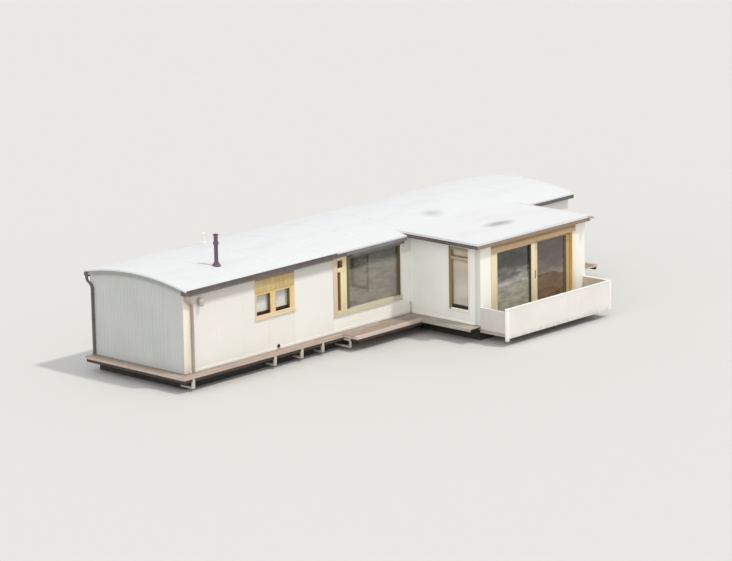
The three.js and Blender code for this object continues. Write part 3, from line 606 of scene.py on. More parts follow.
FOOT_SPLASH = (1.38, 1.62)
HIGH_SPLASH = (1.38, 1.7)
EARTH = (170, 158, 138)
white_wall = painted("white_wall_paint", (233, 228, 220), (228, 226, 217), EARTH, 0.05, 0.62, 0.12,
                     FOOT_SPLASH, bump=0.2)
# The left end's boards and corner boards are painted a greyer white than the other walls: painted shade for
# that end.
grey_white_wall = painted("grey_white_wall_paint", (190, 190, 187), (184, 185, 180), (140, 136, 124), 0.10,
                          0.62, 0.25, HIGH_SPLASH, bump=0.2)
wing_wall_paint = painted("wing_wall_paint", (236, 235, 228), (231, 232, 225), EARTH, 0.05, 0.62, 0.12,
                          FOOT_SPLASH, bump=0.2)
bright_wall = painted("bright_wall_paint", (250, 245, 236), (247, 243, 234), (190, 176, 156), 0.04, 0.6,
                      bump=0.2)
# The near wall is painted greyer under its soffit and evenly down to a band below it: a painted
# shade that carries the eave's shadow further down the wall
shaded = {"streaks": 0.02, "sheen": 0.62, "splash": 1.0, "splash_z": (3.365, 3.285), "even": 1.0,
          "bump": 0.2}
near_paint = painted("near_wall_paint", (233, 228, 221), (228, 226, 218), (211, 205, 197), **shaded)
# The stretch between the windows is painted a little lighter and the stretch by the wing lighter still:
# painted light, which on the stretch by the wing offsets the shade the wing throws there.
mid_paint = painted("near_wall_middle_paint", (237, 233, 226), (233, 231, 223), (213, 207, 199), **shaded)
painted_light_wall = painted("painted_light_wall_paint", (245, 242, 234), (241, 239, 230), (218, 213, 204), **shaded)
dress(white_wall, "near_wall_left", "near_wall_right", "far_wall", "left_end_wall", "right_end_wall",
      "wing_wall_left", "wing_wall_right", "wing_wall_front")

CREAM_WIDTH = 0.225
WING_CORNER = 0.2
END_MARGIN = 0.09
GABLE_TOP = 0.3
wall_foot = cabin_foot + 0.002
near_eave_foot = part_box("near_eave_left")[0].z
soffit = near_eave_foot - 0.001
wing_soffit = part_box("wing_eave")[0].z - 0.001
cream_edge = cabin_left + CREAM_WIDTH
over_gable = arched_band("over_gable", cabin_left - 1, cabin_right + 1, near_face - 0.1, far_face + 0.1,
                         near_eave_foot - eave - SEAM, 1.0, 48)
living_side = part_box("living_window_frame")[0].x
bedroom_low, bedroom_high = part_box("bedroom_window_frame")
end_y = (near_face + END_MARGIN, far_face - END_MARGIN)
cladding("near_sheets_left", NEAR, cream_edge, bedroom_high.x, soffit, SHEET_WIDTH, near_paint,
         "bedroom_window_frame")
cladding("near_sheets_middle", NEAR, bedroom_high.x, living_side, soffit, SHEET_WIDTH, mid_paint)
cladding("near_sheets_by_wing", NEAR, living_side, wing_left - CLADDING, soffit, SHEET_WIDTH, painted_light_wall,
         "living_window_frame")
cladding("near_sheets_right", NEAR, wing_right + CLADDING, cabin_right, soffit, SHEET_WIDTH, white_wall)
cladding("far_sheets", FAR, cabin_left, cabin_right, soffit, SHEET_WIDTH, white_wall,
         "bank_window_left_frame", "bank_window_right_frame")
cladding("left_end_boards", LEFT_END, *end_y, eave + GABLE_TOP, BOARD_WIDTH, grey_white_wall,
         top_cut=over_gable.copy())
cladding("right_end_boards", RIGHT_END, *end_y, eave + GABLE_TOP, BOARD_WIDTH, white_wall,
         "entrance_frame", top_cut=over_gable.copy())
cladding("wing_left_sheets", WING_LEFT, wing_front + WING_CORNER, near_face - CLADDING, wing_soffit,
         SHEET_WIDTH, wing_wall_paint, "wing_side_window_frame")
cladding("wing_right_sheets", WING_RIGHT, wing_front + END_MARGIN, near_face - CLADDING, wing_soffit,
         SHEET_WIDTH, white_wall)
cladding("wing_front_sheets", WING_FRONT, wing_left, wing_right, wing_soffit, SHEET_WIDTH, bright_wall,
         "wing_front_frame")

# A grey strip along the top of the near wall, on both sides of the bedroom window, is painted shade
# under the soffit. It is a thin board laid over the sheets.
STRIP = {"front": -0.016, "back": -0.0064, "height": 0.095}
soffit_shade_paint = painted("soffit_shade_strip_paint", (156, 146, 134), (148, 138, 126), (104, 94, 84), 0.3, 0.6)
boxed("soffit_shade_strips", [
    on_wall(NEAR, u0, u1, STRIP["front"], STRIP["back"], soffit - STRIP["height"], soffit)
    for u0, u1 in ((cream_edge, bedroom_low.x - SEAM), (bedroom_high.x + SEAM, living_side - SEAM))],
    soffit_shade_paint, 0.002, 2)

# Along the foot of the near wall and of the wing's left side runs a painted skirting board, down to
# the decks and stopped short on both sides of the wall's drain.
SKIRTING = {"front": -0.016, "back": -0.0064, "low": 1.3915, "high": 1.472, "clear": 0.020}
DRAIN_SIDES = (-4.865, -4.685)
near_lengths = ((cream_edge, DRAIN_SIDES[0]), (DRAIN_SIDES[1], wing_left - SKIRTING["clear"]))
wing_lengths = ((wing_front + WING_CORNER, near_face - SKIRTING["clear"]),)
for name, finish, wall, lengths in (("near_skirting", mid_paint, NEAR, near_lengths),
                                    ("wing_skirting", bright_wall, WING_LEFT, wing_lengths)):
    boxed(name, [
        on_wall(wall, u0, u1, SKIRTING["front"], SKIRTING["back"], SKIRTING["low"], SKIRTING["high"])
        for u0, u1 in lengths], finish, 0.002, 2)

# The floor's edge shows below the sheets on the bank side and round the wing. A tarred rubbing
# strake is bolted along it there.
low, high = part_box("floor")
STRAKE = {"thickness": 0.020, "drop": 0.004, "short_of_ledge": 0.285}
strake_runs = ((FAR, cabin_left, cabin_right),
               (WING_RIGHT, wing_front + SEAM, near_face - STRAKE["short_of_ledge"]))
boxed("rubbing_strakes", [
    on_wall(wall, u0, u1, -STRAKE["thickness"], -CLEAR, low.z + STRAKE["drop"], high.z - 0.001)
    for wall, u0, u1 in strake_runs], dark_timber, 0.004, 2)

# Corner boards cover the sheets' ends. The one at the near left corner is a wide cream board that
# the rain pipe stands beside, the rest are narrow and white.
CORNER = 0.012
NARROW = 0.088
cream = painted("cream_board_paint", (241, 229, 213), (237, 223, 206), (176, 150, 118), 0.12,
                splash=0.4, splash_z=HIGH_SPLASH)
# The wing's left corner board is painted darker than the wall beside it: painted shade on it.
shade_dark_corner = painted("shade_dark_corner_paint", (216, 216, 207), (211, 212, 203), EARTH, 0.08, 0.6, 0.12,
                      FOOT_SPLASH, bump=0.2)
corners = ((near_face, near_face + NARROW), (far_face - NARROW, far_face))
front_edge = wing_front - CORNER
# By piece: its finish, and its boards as wall, from and to along it, and top
CORNER_BOARDS = {
    "cream_corner_board": (cream, [(NEAR, cabin_left - CORNER, cream_edge - SEAM, soffit)]),
    "left_end_corner_boards": (grey_white_wall, [(LEFT_END, *sides, soffit - SEAM) for sides in corners]),
    "corner_boards": (wing_wall_paint, [(RIGHT_END, *sides, soffit - SEAM) for sides in corners]
                      + [(WING_RIGHT, front_edge, wing_front + NARROW, wing_soffit)]),
    "wing_left_corner_board": (shade_dark_corner, [(WING_LEFT, front_edge, wing_front + WING_CORNER - SEAM,
                                              wing_soffit)]),
}
for name, (finish, placed) in CORNER_BOARDS.items():
    boxed(name, [on_wall(wall, u0, u1, -CORNER, -CLEAR, wall_foot, top) for wall, u0, u1, top in placed],
          finish, 0.003, 2)

# The window frames are softwood under yellow varnish, set in the walls with their faces just proud.
# Butted glazing beads hold each pane, in a rebate that is lined with them. Their dark stains are
# partly the frames' own and partly painted shade in the rebates.
UPRIGHT = (14, 14, 0.6)
LEVEL = (0.6, 14, 14)
varnish = timbered("yellow_varnish_upright", (236, 206, 146), (212, 176, 112), UPRIGHT, 0.15, 0.42,
                   (232, 210, 166), 0.5, Coat_Weight=0.25)
dress(varnish, "bedroom_window_frame", "living_window_frame", "wing_side_window_frame",
      "bank_window_left_frame", "bank_window_right_frame", "wing_front_frame", "sliding_door_leaf",
      "entrance_frame", "entrance_door")

BROWN = rgb(132, 100, 64)
DEEP_BROWN = rgb(60, 30, 8)
DARK_OLIVE = rgb(56, 50, 36)
OLIVE = rgb(100, 88, 62)
LIGHT_OLIVE = rgb(120, 108, 80)
TAN = rgb(180, 142, 96)
GREY_BROWN = rgb(160, 136, 106)
PALE_BROWN = rgb(165, 150, 125)
PALE = rgb(214, 206, 190)
# By window: its wall, its panes as (u0, u1, z0, z1), the stain of its side and top bars, the stain of
# its lowest bars, both partly painted shade, and how high the bead under the panes stands
PANES = {
    "bedroom": (NEAR, [(-5.665, -5.085, 2.530, 3.170), (-4.865, -4.265, 2.530, 3.170)],
                BROWN, DEEP_BROWN, 0.115),
    "living_side": (NEAR, [(-2.200, -2.070, 2.060, 3.240), (-2.200, -1.970, 3.370, 3.600)],
                    TAN, TAN, 0.020),
    "living": (NEAR, [(-1.800, 0.600, 2.020, 3.600)], LIGHT_OLIVE, PALE, 0.020),
    "wing_side": (WING_LEFT, [(-2.905, -2.210, 1.825, 3.340)], GREY_BROWN, DARK_OLIVE, 0.085),
    "wing_side_vent": (WING_LEFT, [(-2.905, -2.210, 3.420, 3.640)], GREY_BROWN, PALE_BROWN, 0.020),
    "bank_left": (FAR, [(-6.210, -5.590, 2.390, 3.510), (-5.510, -4.890, 2.390, 3.510)],
                  BROWN, BROWN, 0.020),
    "bank_right": (FAR, [(1.490, 2.410, 2.390, 3.510), (2.490, 3.410, 2.390, 3.510)],
                   BROWN, BROWN, 0.020),
    "wing_front": (WING_FRONT, [(1.825, 3.440, 1.510, 3.530)], OLIVE, OLIVE, 0.020),
}
LINER = {"thickness": 0.008, "from": -0.012}
BEAD = {"width": 0.020, "from": 0.058, "to": 0.0795}
FRONT_BEAD = {"from": 0.050, "to": 0.0595}


def ring(wall, pane, width, v0, v1, foot=None):
    """Four bars that line a pane's opening from inside, width wide, the lowest one foot high."""
    u0, u1, z0, z1 = pane
    foot = z0 + (foot or width)
    spans = [(u0, u1, z0, foot), (u0, u0 + width, foot, z1), (u1 - width, u1, foot, z1),
             (u0 + width, u1 - width, z1 - width, z1)]
    return [on_wall(wall, a, b, v0, v1, low, high) for a, b, low, high in spans]


def stain(name, color):
    """A timber finish of one stain, a little uneven."""
    return finish_material(name, timber_effect, {
        "Light": color, "Dark": tuple(0.72 * c for c in color[:3]) + (1,), "Along": (4, 4, 4), "Sheen": 0.5,
        "Worn": color, "Wear": 0.1}, bump=0.15)


for window, (wall, panes, side_stain_and_shade, foot_stain_and_shade, foot) in PANES.items():
    seat = FRONT_BEAD if window == "wing_front" else BEAD
    side_bars = []
    foot_bars = []
    for pane in panes:
        liners = ring(wall, pane, LINER["thickness"], LINER["from"], seat["from"] - 0.0005)
        beads = ring(wall, pane, BEAD["width"], seat["from"], seat["to"], foot)
        foot_bars += [liners[0], beads[0]]
        side_bars += liners[1:] + beads[1:]
    for part, bars, color in (("side", side_bars, side_stain_and_shade), ("foot", foot_bars, foot_stain_and_shade)):
        boxed(f"{window}_{part}_beads", bars, stain(f"{window}_{part}_stain", color),
              0.002, 2)

# The sun has bleached some of the frames, and the rest is painted. Thin facing boards over the
# frames' fronts carry these finishes, pinned on with their joints in the frames' own corners.
FACING = (-0.0215, -0.0153)
SASH = (0.020, 0.0570)


def facings(name, wall, boards, material, v=FACING):
    """Facing boards on a frame, each from u0, u1, z0, z1."""
    return boxed(name, [on_wall(wall, u0, u1, *v, z0, z1) for u0, u1, z0, z1 in boards], material,
                 0.0025, 2)


def facing_finish(name, light, dark, along=UPRIGHT):
    """A bleached or stained varnish from its lightest and darkest grain."""
    return timbered(name, light, dark, along, 0.1, 0.5, light, 0.3)


bleached = facing_finish("bleached_varnish", (238, 227, 193), (220, 204, 162))
post_bleached = facing_finish("post_bleached_varnish", (244, 231, 200), (222, 206, 166))
header_and_shade = facing_finish("header_varnish_and_shade", (211, 186, 144), (192, 164, 119), LEVEL)
pale_bleached = facing_finish("pale_bleached_varnish", (254, 244, 218), (242, 226, 190))
dull_bleached = facing_finish("dull_bleached_varnish", (222, 211, 182), (200, 186, 150))
tan_bleached = facing_finish("tan_bleached_varnish", (236, 214, 182), (216, 190, 154), LEVEL)
deep_golden = facing_finish("deep_golden_varnish", (214, 188, 134), (184, 156, 102))
dark_stain_and_shade = facing_finish("dark_frame_stain_and_shade", (116, 90, 60), (84, 62, 38))
olive_stain = facing_finish("olive_sash_stain", (120, 108, 78), (98, 86, 58))
head_shade_stain = facing_finish("head_shade_stain", (100, 92, 74), (80, 72, 56), LEVEL)
head_shade_brown = facing_finish("head_shade_varnish", (180, 144, 104), (150, 118, 80), LEVEL)
strip_brown = facing_finish("strip_brown_varnish", (142, 112, 78), (116, 90, 60))
cream_stile = painted("cream_frame_paint", (222, 204, 180), (214, 196, 170), (176, 150, 118), 0.15)
side_cream = painted("side_frame_paint", (224, 215, 195), (216, 207, 186), (180, 164, 136), 0.1)
dull_frame = painted("dull_frame_paint", (207, 198, 174), (200, 191, 166), (160, 146, 118), 0.2)
white_frame = painted("white_frame_paint", (238, 233, 222), (232, 227, 214), (190, 178, 156), 0.1)
tan_paint = painted("tan_transom_paint", (176, 164, 140), (168, 156, 130), (120, 104, 84), 0.2)
dull_head = painted("dull_head_paint", (156, 142, 118), (146, 132, 108), (110, 94, 72), 0.2)

left, right_side, foot, head = span_on("living_window_frame", NEAR)
facings("living_left_stile", NEAR, [(left, -2.208, foot, head)], cream_stile)
facings("living_post", NEAR, [(-2.062, -1.804, 2.022, 3.240), (-1.962, -1.804, 3.240, head),
                              (-2.200, -1.963, 3.246, 3.362), (-2.206, -1.964, 3.606, head)], bleached)
facings("living_foot", NEAR, [(-2.207, right_side, foot, 2.016)], dull_frame)
facings("living_right_stile", NEAR, [(0.604, right_side, 2.017, head)], white_frame)
# The dark head over the big pane is painted shade under the blind's cassette.
facings("living_head", NEAR, [(-1.800, 0.602, 3.604, head)], head_shade_stain)
facings("living_sash_stile", NEAR, [(-1.790, -1.640, 2.030, 3.590)], olive_stain, SASH)
left, right_side, foot, head = span_on("wing_side_window_frame", WING_LEFT)
pane_u = (-2.908, -2.207)
facings("side_surround", WING_LEFT, [(left, -2.909, foot, head), (*pane_u, foot, 1.821)], white_frame)
facings("side_head", WING_LEFT, [(*pane_u, 3.644, head)], dull_head)
facings("side_left_stile", WING_LEFT, [(-2.139, right_side, foot, head)], side_cream)
facings("side_left_strip", WING_LEFT, [(-2.206, -2.140, foot, head)], strip_brown)
facings("side_transom", WING_LEFT, [(*pane_u, 3.344, 3.416)], tan_paint)
left, right_side, foot, head = span_on("bedroom_window_frame", NEAR)
facings("bedroom_left_stile", NEAR, [(left, -5.669, 2.570, 3.213)], dull_bleached)
facings("bedroom_foot", NEAR, [(left, right_side, foot + 0.046, 2.567)], tan_bleached)
left, right_side, foot, head = span_on("wing_front_frame", WING_FRONT)
HEAD_FOOT = 3.574
HEAD_TOP = 3.704
facings("front_left_post", WING_FRONT, [(left, 1.846, 1.412, 3.532)], bleached)
facings("front_centre_post", WING_FRONT, [(3.444, 3.601, 1.512, 3.532)], post_bleached)
facings("front_right_post", WING_FRONT, [(5.414, right_side, 1.412, HEAD_FOOT - SEAM)], pale_bleached)
# The head's varnish is darker than the posts': partly its own tone and partly painted shade under the eave.
facings("front_head", WING_FRONT, [(left, 3.601, 3.534, HEAD_TOP),
                                   (3.602, right_side, HEAD_FOOT, HEAD_TOP)], header_and_shade)
# The brown strip over the head is painted shade under the wing's eave.
facings("front_head_top", WING_FRONT, [(left, right_side, HEAD_TOP + SEAM, head)], head_shade_brown)

# The panes are float glass. Their colour is painted: pale and matt low down as a painted reflection,
# darker under the eaves as painted shade, with wavy, cloudy patches of painted reflection. They lie
# in the frames' rebates, and the beads hold them.
tree, place, given = effect("pane_reflection_and_shade", {
    "Low": (0.5, 0.5, 0.4, 1), "High": (0.3, 0.3, 0.25, 1), "From": 2.6, "To": 3.0, "Waves": 1.0,
    "Clouds": 0.35, "Coat Fade": 0.0}, "Coat")
reflection_effect = tree
height_of = put(tree, "ShaderNodeSeparateXYZ", {0: place}).outputs["Z"]
wave = stretched_noise(tree, place, (0.8, 0.8, 3.0), 1.2, 4, 0.6)
swell = computed(tree, "MULTIPLY", ranged(tree, wave, 0.3, 0.7, -0.3, 0.3), given["Waves"])
risen = computed(tree, "ADD", height_of, swell)
share = put(tree, "ShaderNodeMapRange", {
    "Value": risen, "From Min": given["From"], "From Max": given["To"]},
    interpolation_type="SMOOTHSTEP").outputs["Result"]
cloud = ranged(tree, stretched_noise(tree, place, (1.5, 1.5, 4.0), 1.6, 5, 0.65), 0.35, 0.7)
cloud = computed(tree, "MULTIPLY", cloud, given["Clouds"])
painted_reflection = blended(tree, share, given["Low"], given["High"])
lost = computed(tree, "MULTIPLY", share, given["Coat Fade"])
gives(tree, blended(tree, cloud, painted_reflection, given["High"]), ranged(tree, wave, 0.4, 0.75, 0.02, 0.09),
      computed(tree, "SUBTRACT", ranged(tree, wave, 0.3, 0.7, 0.6, 1.0), lost))

# By node: how clear its glass is, then the painted reflection's values: its colour low down and high
# up, the heights between, how wavy and cloudy it is, and how much of the pane's sheen is lost high up
REFLECTION_VALUES = ("Low", "High", "From", "To", "Waves", "Clouds", "Coat Fade")
bank_reflection = (0.7, (0.5, 0.5, 0.45, 1), (0.4, 0.4, 0.36, 1), 2.6, 3.4, 1.0, 0.35, 0.0)
GLAZING = {
    "bedroom_window_glass": (0.75, (1.0, 1.0, 0.96, 1), (0.94, 0.93, 0.90, 1), 2.6, 3.2, 1.0, 0.35, 0.0),
    "living_window_glass": (0.20, (0.30, 0.265, 0.21, 1), (0.06, 0.06, 0.05, 1), 3.08, 3.46, 0.5, 0.5, 0.35),
    "wing_side_window_glass": (0.6, (0.78, 0.76, 0.68, 1), (0.96, 0.85, 0.69, 1), 2.9, 3.5, 1.0, 0.35, 0.0),
    "bank_window_left_glass": bank_reflection,
    "bank_window_right_glass": bank_reflection,
    "wing_front_glass": (0.56, (0.80, 0.81, 0.69, 1), (0.055, 0.055, 0.04, 1), 2.38, 3.05, 0.8, 0.55, 0.5),
    "sliding_door_glass": (0.22, (0.29, 0.19, 0.115, 1), (0.065, 0.035, 0.02, 1), 2.2, 3.05, 1.3, 0.7, 0.25),
}
for node, (clearness, *reflection_values) in GLAZING.items():
    glass, tree, shader = new_material(node)
    for label, value in {"Transmission Weight": clearness, "IOR": 1.5, "Coat IOR": 1.9,
                         "Coat Roughness": 0.03}.items():
        shader.inputs[label].default_value = value
    painted_reflection = put(tree, "ShaderNodeGroup", dict(zip(REFLECTION_VALUES, reflection_values)), node_tree=reflection_effect)
    for label, socket in {"Color": "Base Color", "Roughness": "Roughness", "Coat": "Coat Weight"}.items():
        tree.links.new(painted_reflection.outputs[label], shader.inputs[socket])
    clear = put(tree, "ShaderNodeBsdfTransparent", {"Color": (0.85, 0.86, 0.84, 1)})
    ray = put(tree, "ShaderNodeLightPath")
    through = put(tree, "ShaderNodeMixShader", {
        0: ray.outputs["Is Shadow Ray"], 1: shader.outputs[0], 2: clear.outputs[0]})
    tree.links.new(through.outputs[0], tree.nodes["Material Output"].inputs["Surface"])
    dress(glass, node)

# The bedroom, living room, side and bank windows have sill boards under them, and the bedroom window
# has framed panels over its panes, in varnished or painted softwood, screwed to the frame's face.
VARNISHED_SILL = {"past": 0.03, "front": -0.055, "back": -0.0155}
PAINTED_SILL = {"past": 0.02, "front": -0.050, "back": -0.0218}
SILL_DROP = 0.004


def sill(node, wall, shape, rise):
    """A sill board at a frame's foot, past its ends and in front of it, up to a rise over its foot."""
    u0, u1, z0, z1 = span_on(node, wall)
    return on_wall(wall, u0 - shape["past"], u1 + shape["past"], shape["front"], shape["back"],
                   z0 - SILL_DROP, z0 + rise)


boxed("window_sills", [
    sill(node, wall, VARNISHED_SILL, rise) for node, wall, rise in (
        ("bedroom_window_frame", NEAR, 0.045), ("bank_window_left_frame", FAR, 0.04),
        ("bank_window_right_frame", FAR, 0.04))], tan_bleached, 0.006, 2)
for window, wall, finish in (("living_window", NEAR, dull_frame),
                             ("wing_side_window", WING_LEFT, white_frame)):
    boxed(window + "_sill", [sill(window + "_frame", wall, PAINTED_SILL, 0.024)], finish,
          0.006, 2)

PANEL = {"foot": 3.215, "head": 3.613, "inset": 0.002}
plain_golden = timbered("golden_panel_varnish", (218, 190, 128), (180, 150, 88), (5, 5, 0.4), 0.3, 0.5,
                        (204, 186, 148), 0.7)
bedroom_head = facing_finish("bedroom_head_varnish_and_shade", (160, 140, 114), (132, 112, 88), LEVEL)
panel_left = bedroom_low.x + PANEL["inset"]
panel_right = bedroom_high.x - PANEL["inset"]
facings("bedroom_panels", NEAR, [(panel_left, -5.072, PANEL["foot"], PANEL["head"]),
                                 (-5.070, panel_right, PANEL["foot"], PANEL["head"])], plain_golden)
# The dark head board over the panels is partly the frame's head and partly painted shade under the eave.
facings("bedroom_head", NEAR, [(panel_left, panel_right, PANEL["head"] + 0.001, bedroom_high.z - 0.004)],
        bedroom_head)


# Behind the bedroom window hangs a net curtain, gathered on the frame's rail and loose at the foot.
# Its folds are drawn in cleanly, each a little different, and spread slightly towards the hem.
def folded_cloth(name, length, height, depth, folds, thickness, rows, columns):
    """An upright sheet in soft folds: its mesh, and the flat width that was gathered into it."""
    weights = [1 + 0.35 * math.sin(1.7 * k + 0.6) + 0.2 * math.sin(4.1 * k) for k in range(folds)]
    starts = [sum(weights[:k]) / sum(weights) for k in range(folds + 1)]
    swing = depth / 2 - thickness / 2 - 0.0006

    def offset(share, drop):
        k = max(i for i in range(folds) if share >= starts[i] - 1e-9)
        phase = k + (share - starts[k]) / (starts[k + 1] - starts[k])
        loose = 0.62 + 0.38 * drop ** 0.8
        return swing * loose * math.sin(2 * math.pi * phase + 0.35 * drop * math.sin(2.3 * k))

    form = bmesh.new()
    front, back = ([[form.verts.new((length * c / columns, offset(c / columns, r / rows) + side * thickness,
                                     height * (1 - r / rows))) for c in range(columns + 1)]
                    for r in range(rows + 1)] for side in (-0.5, 0.5))
    for r in range(rows):
        for c in range(columns):
            form.faces.new((front[r][c], front[r + 1][c], front[r + 1][c + 1], front[r][c + 1]))
            form.faces.new((back[r][c], back[r][c + 1], back[r + 1][c + 1], back[r + 1][c]))
    for c in range(columns):
        form.faces.new((front[0][c], front[0][c + 1], back[0][c + 1], back[0][c]))
        form.faces.new((front[rows][c + 1], front[rows][c], back[rows][c], back[rows][c + 1]))
    for r in range(rows):
        form.faces.new((front[r + 1][0], front[r][0], back[r][0], back[r + 1][0]))
        form.faces.new((front[r][columns], front[r + 1][columns], back[r + 1][columns], back[r][columns]))
    middle = rows // 2
    line = [(length * c / columns, offset(c / columns, middle / rows)) for c in range(columns + 1)]
    return mesh_of(name, form), sum(math.dist(a, b) for a, b in zip(line, line[1:]))


tree, place, given = effect("woven_cloth", {
    "Cloth": (0.8, 0.8, 0.8, 1), "Shadow": (0.6, 0.6, 0.6, 1), "Threads": 900.0, "Sheen": 0.85})
cloth_effect = tree
weave = put(tree, "ShaderNodeTexNoise", {
    "Vector": place, "Scale": given["Threads"], "Detail": 2.0}).outputs["Fac"]
slubs = stretched_noise(tree, place, (60, 60, 3), 1.0, 5, 0.6)
shade = computed(tree, "ADD", slubs, stretched_noise(tree, place, (3, 3, 1.2), 1.0, 3))
gives(tree, blended(tree, ranged(tree, shade, 0.8, 1.25), given["Cloth"], given["Shadow"]),
      computed(tree, "ADD", given["Sheen"], ranged(tree, weave, 0.3, 0.7, -0.05, 0.05)), weave)
net_cloth = finish_material("net_curtain_cloth", cloth_effect, {
    "Cloth": rgb(236, 232, 224), "Shadow": rgb(214, 208, 198), "Threads": 900.0}, 0.15, 0.0005,
    Sheen_Weight=0.2)
CLOTH = 0.0012
CURTAIN_FOLDS = 11
CLEAR_OF_ENDS = 0.001
low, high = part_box("bedroom_curtain")
curtain_mesh, curtain_flat = folded_cloth("net_curtain", high.x - low.x - 2 * CLEAR_OF_ENDS,
                                          high.z - low.z, high.y - low.y, CURTAIN_FOLDS, CLOTH, 24, 264)
curtain_mesh.transform(Matrix.Translation((low.x + CLEAR_OF_ENDS, (low.y + high.y) / 2, low.z)))
curtain = link("net_curtain", curtain_mesh, net_cloth, smooth_below=80)
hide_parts("bedroom_curtain")

# The wing's side window has a plain roller blind of pale cloth, let down to the sill. Its cloth is
# flat, with the hem turned round a slim bar.
HEM = {"height": 0.070, "depth": 0.010, "seam": 0.001}
BLIND_DEPTH = 0.0046
blind_cloth = finish_material("blind_cloth", cloth_effect, {
    "Cloth": rgb(232, 222, 206), "Shadow": rgb(218, 206, 188), "Threads": 500.0}, 0.2, 0.0005)
low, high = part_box("wing_side_blind")
middle = (low.x + high.x) / 2
hem_top = low.z + HEM["height"]
blind_drop = high.z - low.z - HEM["height"] - HEM["seam"]
blind_mesh, blind_flat = folded_cloth("let_down_blind", high.y - low.y - 2 * CLEAR_OF_ENDS, blind_drop,
                                      BLIND_DEPTH, 2, CLOTH, 12, 24)
blind_mesh.transform(Matrix.Translation((middle, low.y + CLEAR_OF_ENDS, hem_top + HEM["seam"]))
                     @ Matrix.Rotation(math.radians(90), 4, "Z"))
let_down = link("let_down_blind", blind_mesh, blind_cloth, smooth_below=80)
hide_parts("wing_side_blind")
hem_bar = boxed("blind_hem_bar", [((middle - HEM["depth"] / 2, low.y + CLEAR_OF_ENDS, low.z),
                                   (middle + HEM["depth"] / 2, high.y - CLEAR_OF_ENDS, hem_top))],
                stain("blind_hem_stain", rgb(62, 56, 44)), 0.003, 3)

# The wing's front has a fixed pane and a door leaf that slides behind it on two rollers. The leaf's
# pull is a thin plate of dulled metal on its stile, and a bead holds its pane.
PULL = {"u": 0.17, "width": 0.045, "height": 0.26, "z": 2.38}
pull_metal, tree, shader = new_material("door_metal")
shader.inputs["Metallic"].default_value = 1.0
place = put(tree, "ShaderNodeTexCoord").outputs["Object"]
tarnish = ranged(tree, stretched_noise(tree, place, (1, 1, 1), 40, 5), 0.35, 0.7)
tree.links.new(blended(tree, tarnish, rgb(168, 160, 148), rgb(116, 106, 94)), shader.inputs["Base Color"])
tree.links.new(ranged(tree, tarnish, 0, 1, 0.28, 0.5), shader.inputs["Roughness"])
low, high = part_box("sliding_door_leaf")
leaf_v = low.y - wing_front
pull_u = low.x + PULL["u"]
boxed("sliding_door_pull", [
    on_wall(WING_FRONT, pull_u, pull_u + PULL["width"], leaf_v - 0.0030, leaf_v - 0.0018,
            PULL["z"], PULL["z"] + PULL["height"])], pull_metal, 0.0004, body="sliding_door")
LEAF_FOOT = 1.60
LEAF_HEAD = 3.486
leaf_left = low.x + 0.001
leaf_right = high.x - 0.001
# By piece: its board as u0, u1, z0, z1, and its finish
LEAF_FACINGS = {
    "sliding_door_left_stile": ((leaf_left, low.x + 0.288, LEAF_FOOT, LEAF_HEAD), post_bleached),
    "sliding_door_right_stile": ((5.245, leaf_right, LEAF_FOOT, LEAF_HEAD), deep_golden),
    # The dark edge beside the right stile is partly dark stain and partly painted shade in the leaf's
    # rebate.
    "sliding_door_dark_edge": ((5.152, 5.243, LEAF_FOOT + 0.01, LEAF_HEAD), dark_stain_and_shade),
    # The brown facing on the leaf's top rail is painted shade under the frame's head.
    "sliding_door_top_rail": ((leaf_left, leaf_right, LEAF_HEAD + SEAM, high.z - 0.002), head_shade_brown),
}
for name, ((u0, u1, z0, z1), finish) in LEAF_FACINGS.items():
    boxed(name, [on_wall(WING_FRONT, u0, u1, leaf_v - 0.0017, leaf_v - 0.0003, z0, z1)], finish,
          0.0005, body="sliding_door")
glass_low, glass_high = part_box("sliding_door_glass")
LEAF_REBATE = 0.012
leaf_pane = (glass_low.x + LEAF_REBATE, glass_high.x - LEAF_REBATE, glass_low.z + LEAF_REBATE,
             glass_high.z - LEAF_REBATE)
dark_seal = painted("dark_seal", (52, 46, 36), (60, 54, 44), (40, 36, 30), 0.1)
boxed("sliding_door_beads", ring(WING_FRONT, leaf_pane, 0.018, leaf_v + 0.002,
                                 glass_low.y - wing_front - 0.0005),
      dark_seal, 0.003, 2, "sliding_door")

# The entrance door is a varnished leaf with a frosted light let into it. Its lever is cast metal, and
# a kick plate of the same metal is screwed on below.
DOOR_LIGHT = {"side": 0.18, "foot": 0.9, "head": 0.16, "margin": 0.001, "thickness": 0.005}
LIGHT_DEPTHS = (0.0215, 0.0395)
KICK = {"side": 0.06, "foot": 0.04, "head": 0.26, "from": 0.0003, "to": 0.002}
dress(pull_metal, "entrance_handle")
frosted, tree, shader = new_material("frosted_glass")
place = put(tree, "ShaderNodeTexCoord").outputs["Object"]
ripple = stretched_noise(tree, place, (1, 1, 1), 55, 3)
tree.links.new(blended(tree, ripple, rgb(176, 184, 180), rgb(206, 212, 208)), shader.inputs["Base Color"])
tree.links.new(ranged(tree, ripple, 0.3, 0.7, 0.12, 0.3), shader.inputs["Roughness"])
ripple_bump = put(tree, "ShaderNodeBump", {"Strength": 0.4, "Distance": 0.002, "Height": ripple})
tree.links.new(ripple_bump.outputs["Normal"], shader.inputs["Normal"])
low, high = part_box("entrance_door")
outer = cabin_right + 0.006
margin = DOOR_LIGHT["margin"]
light_y = (low.y + DOOR_LIGHT["side"] + margin, high.y - DOOR_LIGHT["side"] - margin)
light_z = (high.z - DOOR_LIGHT["foot"] + margin, high.z - DOOR_LIGHT["head"] - margin)
boxed("entrance_lights", [
    laid("x", (outer - depth, outer - depth + DOOR_LIGHT["thickness"]), light_y, light_z)
    for depth in LIGHT_DEPTHS], frosted, 0.0008, body="entrance_door")
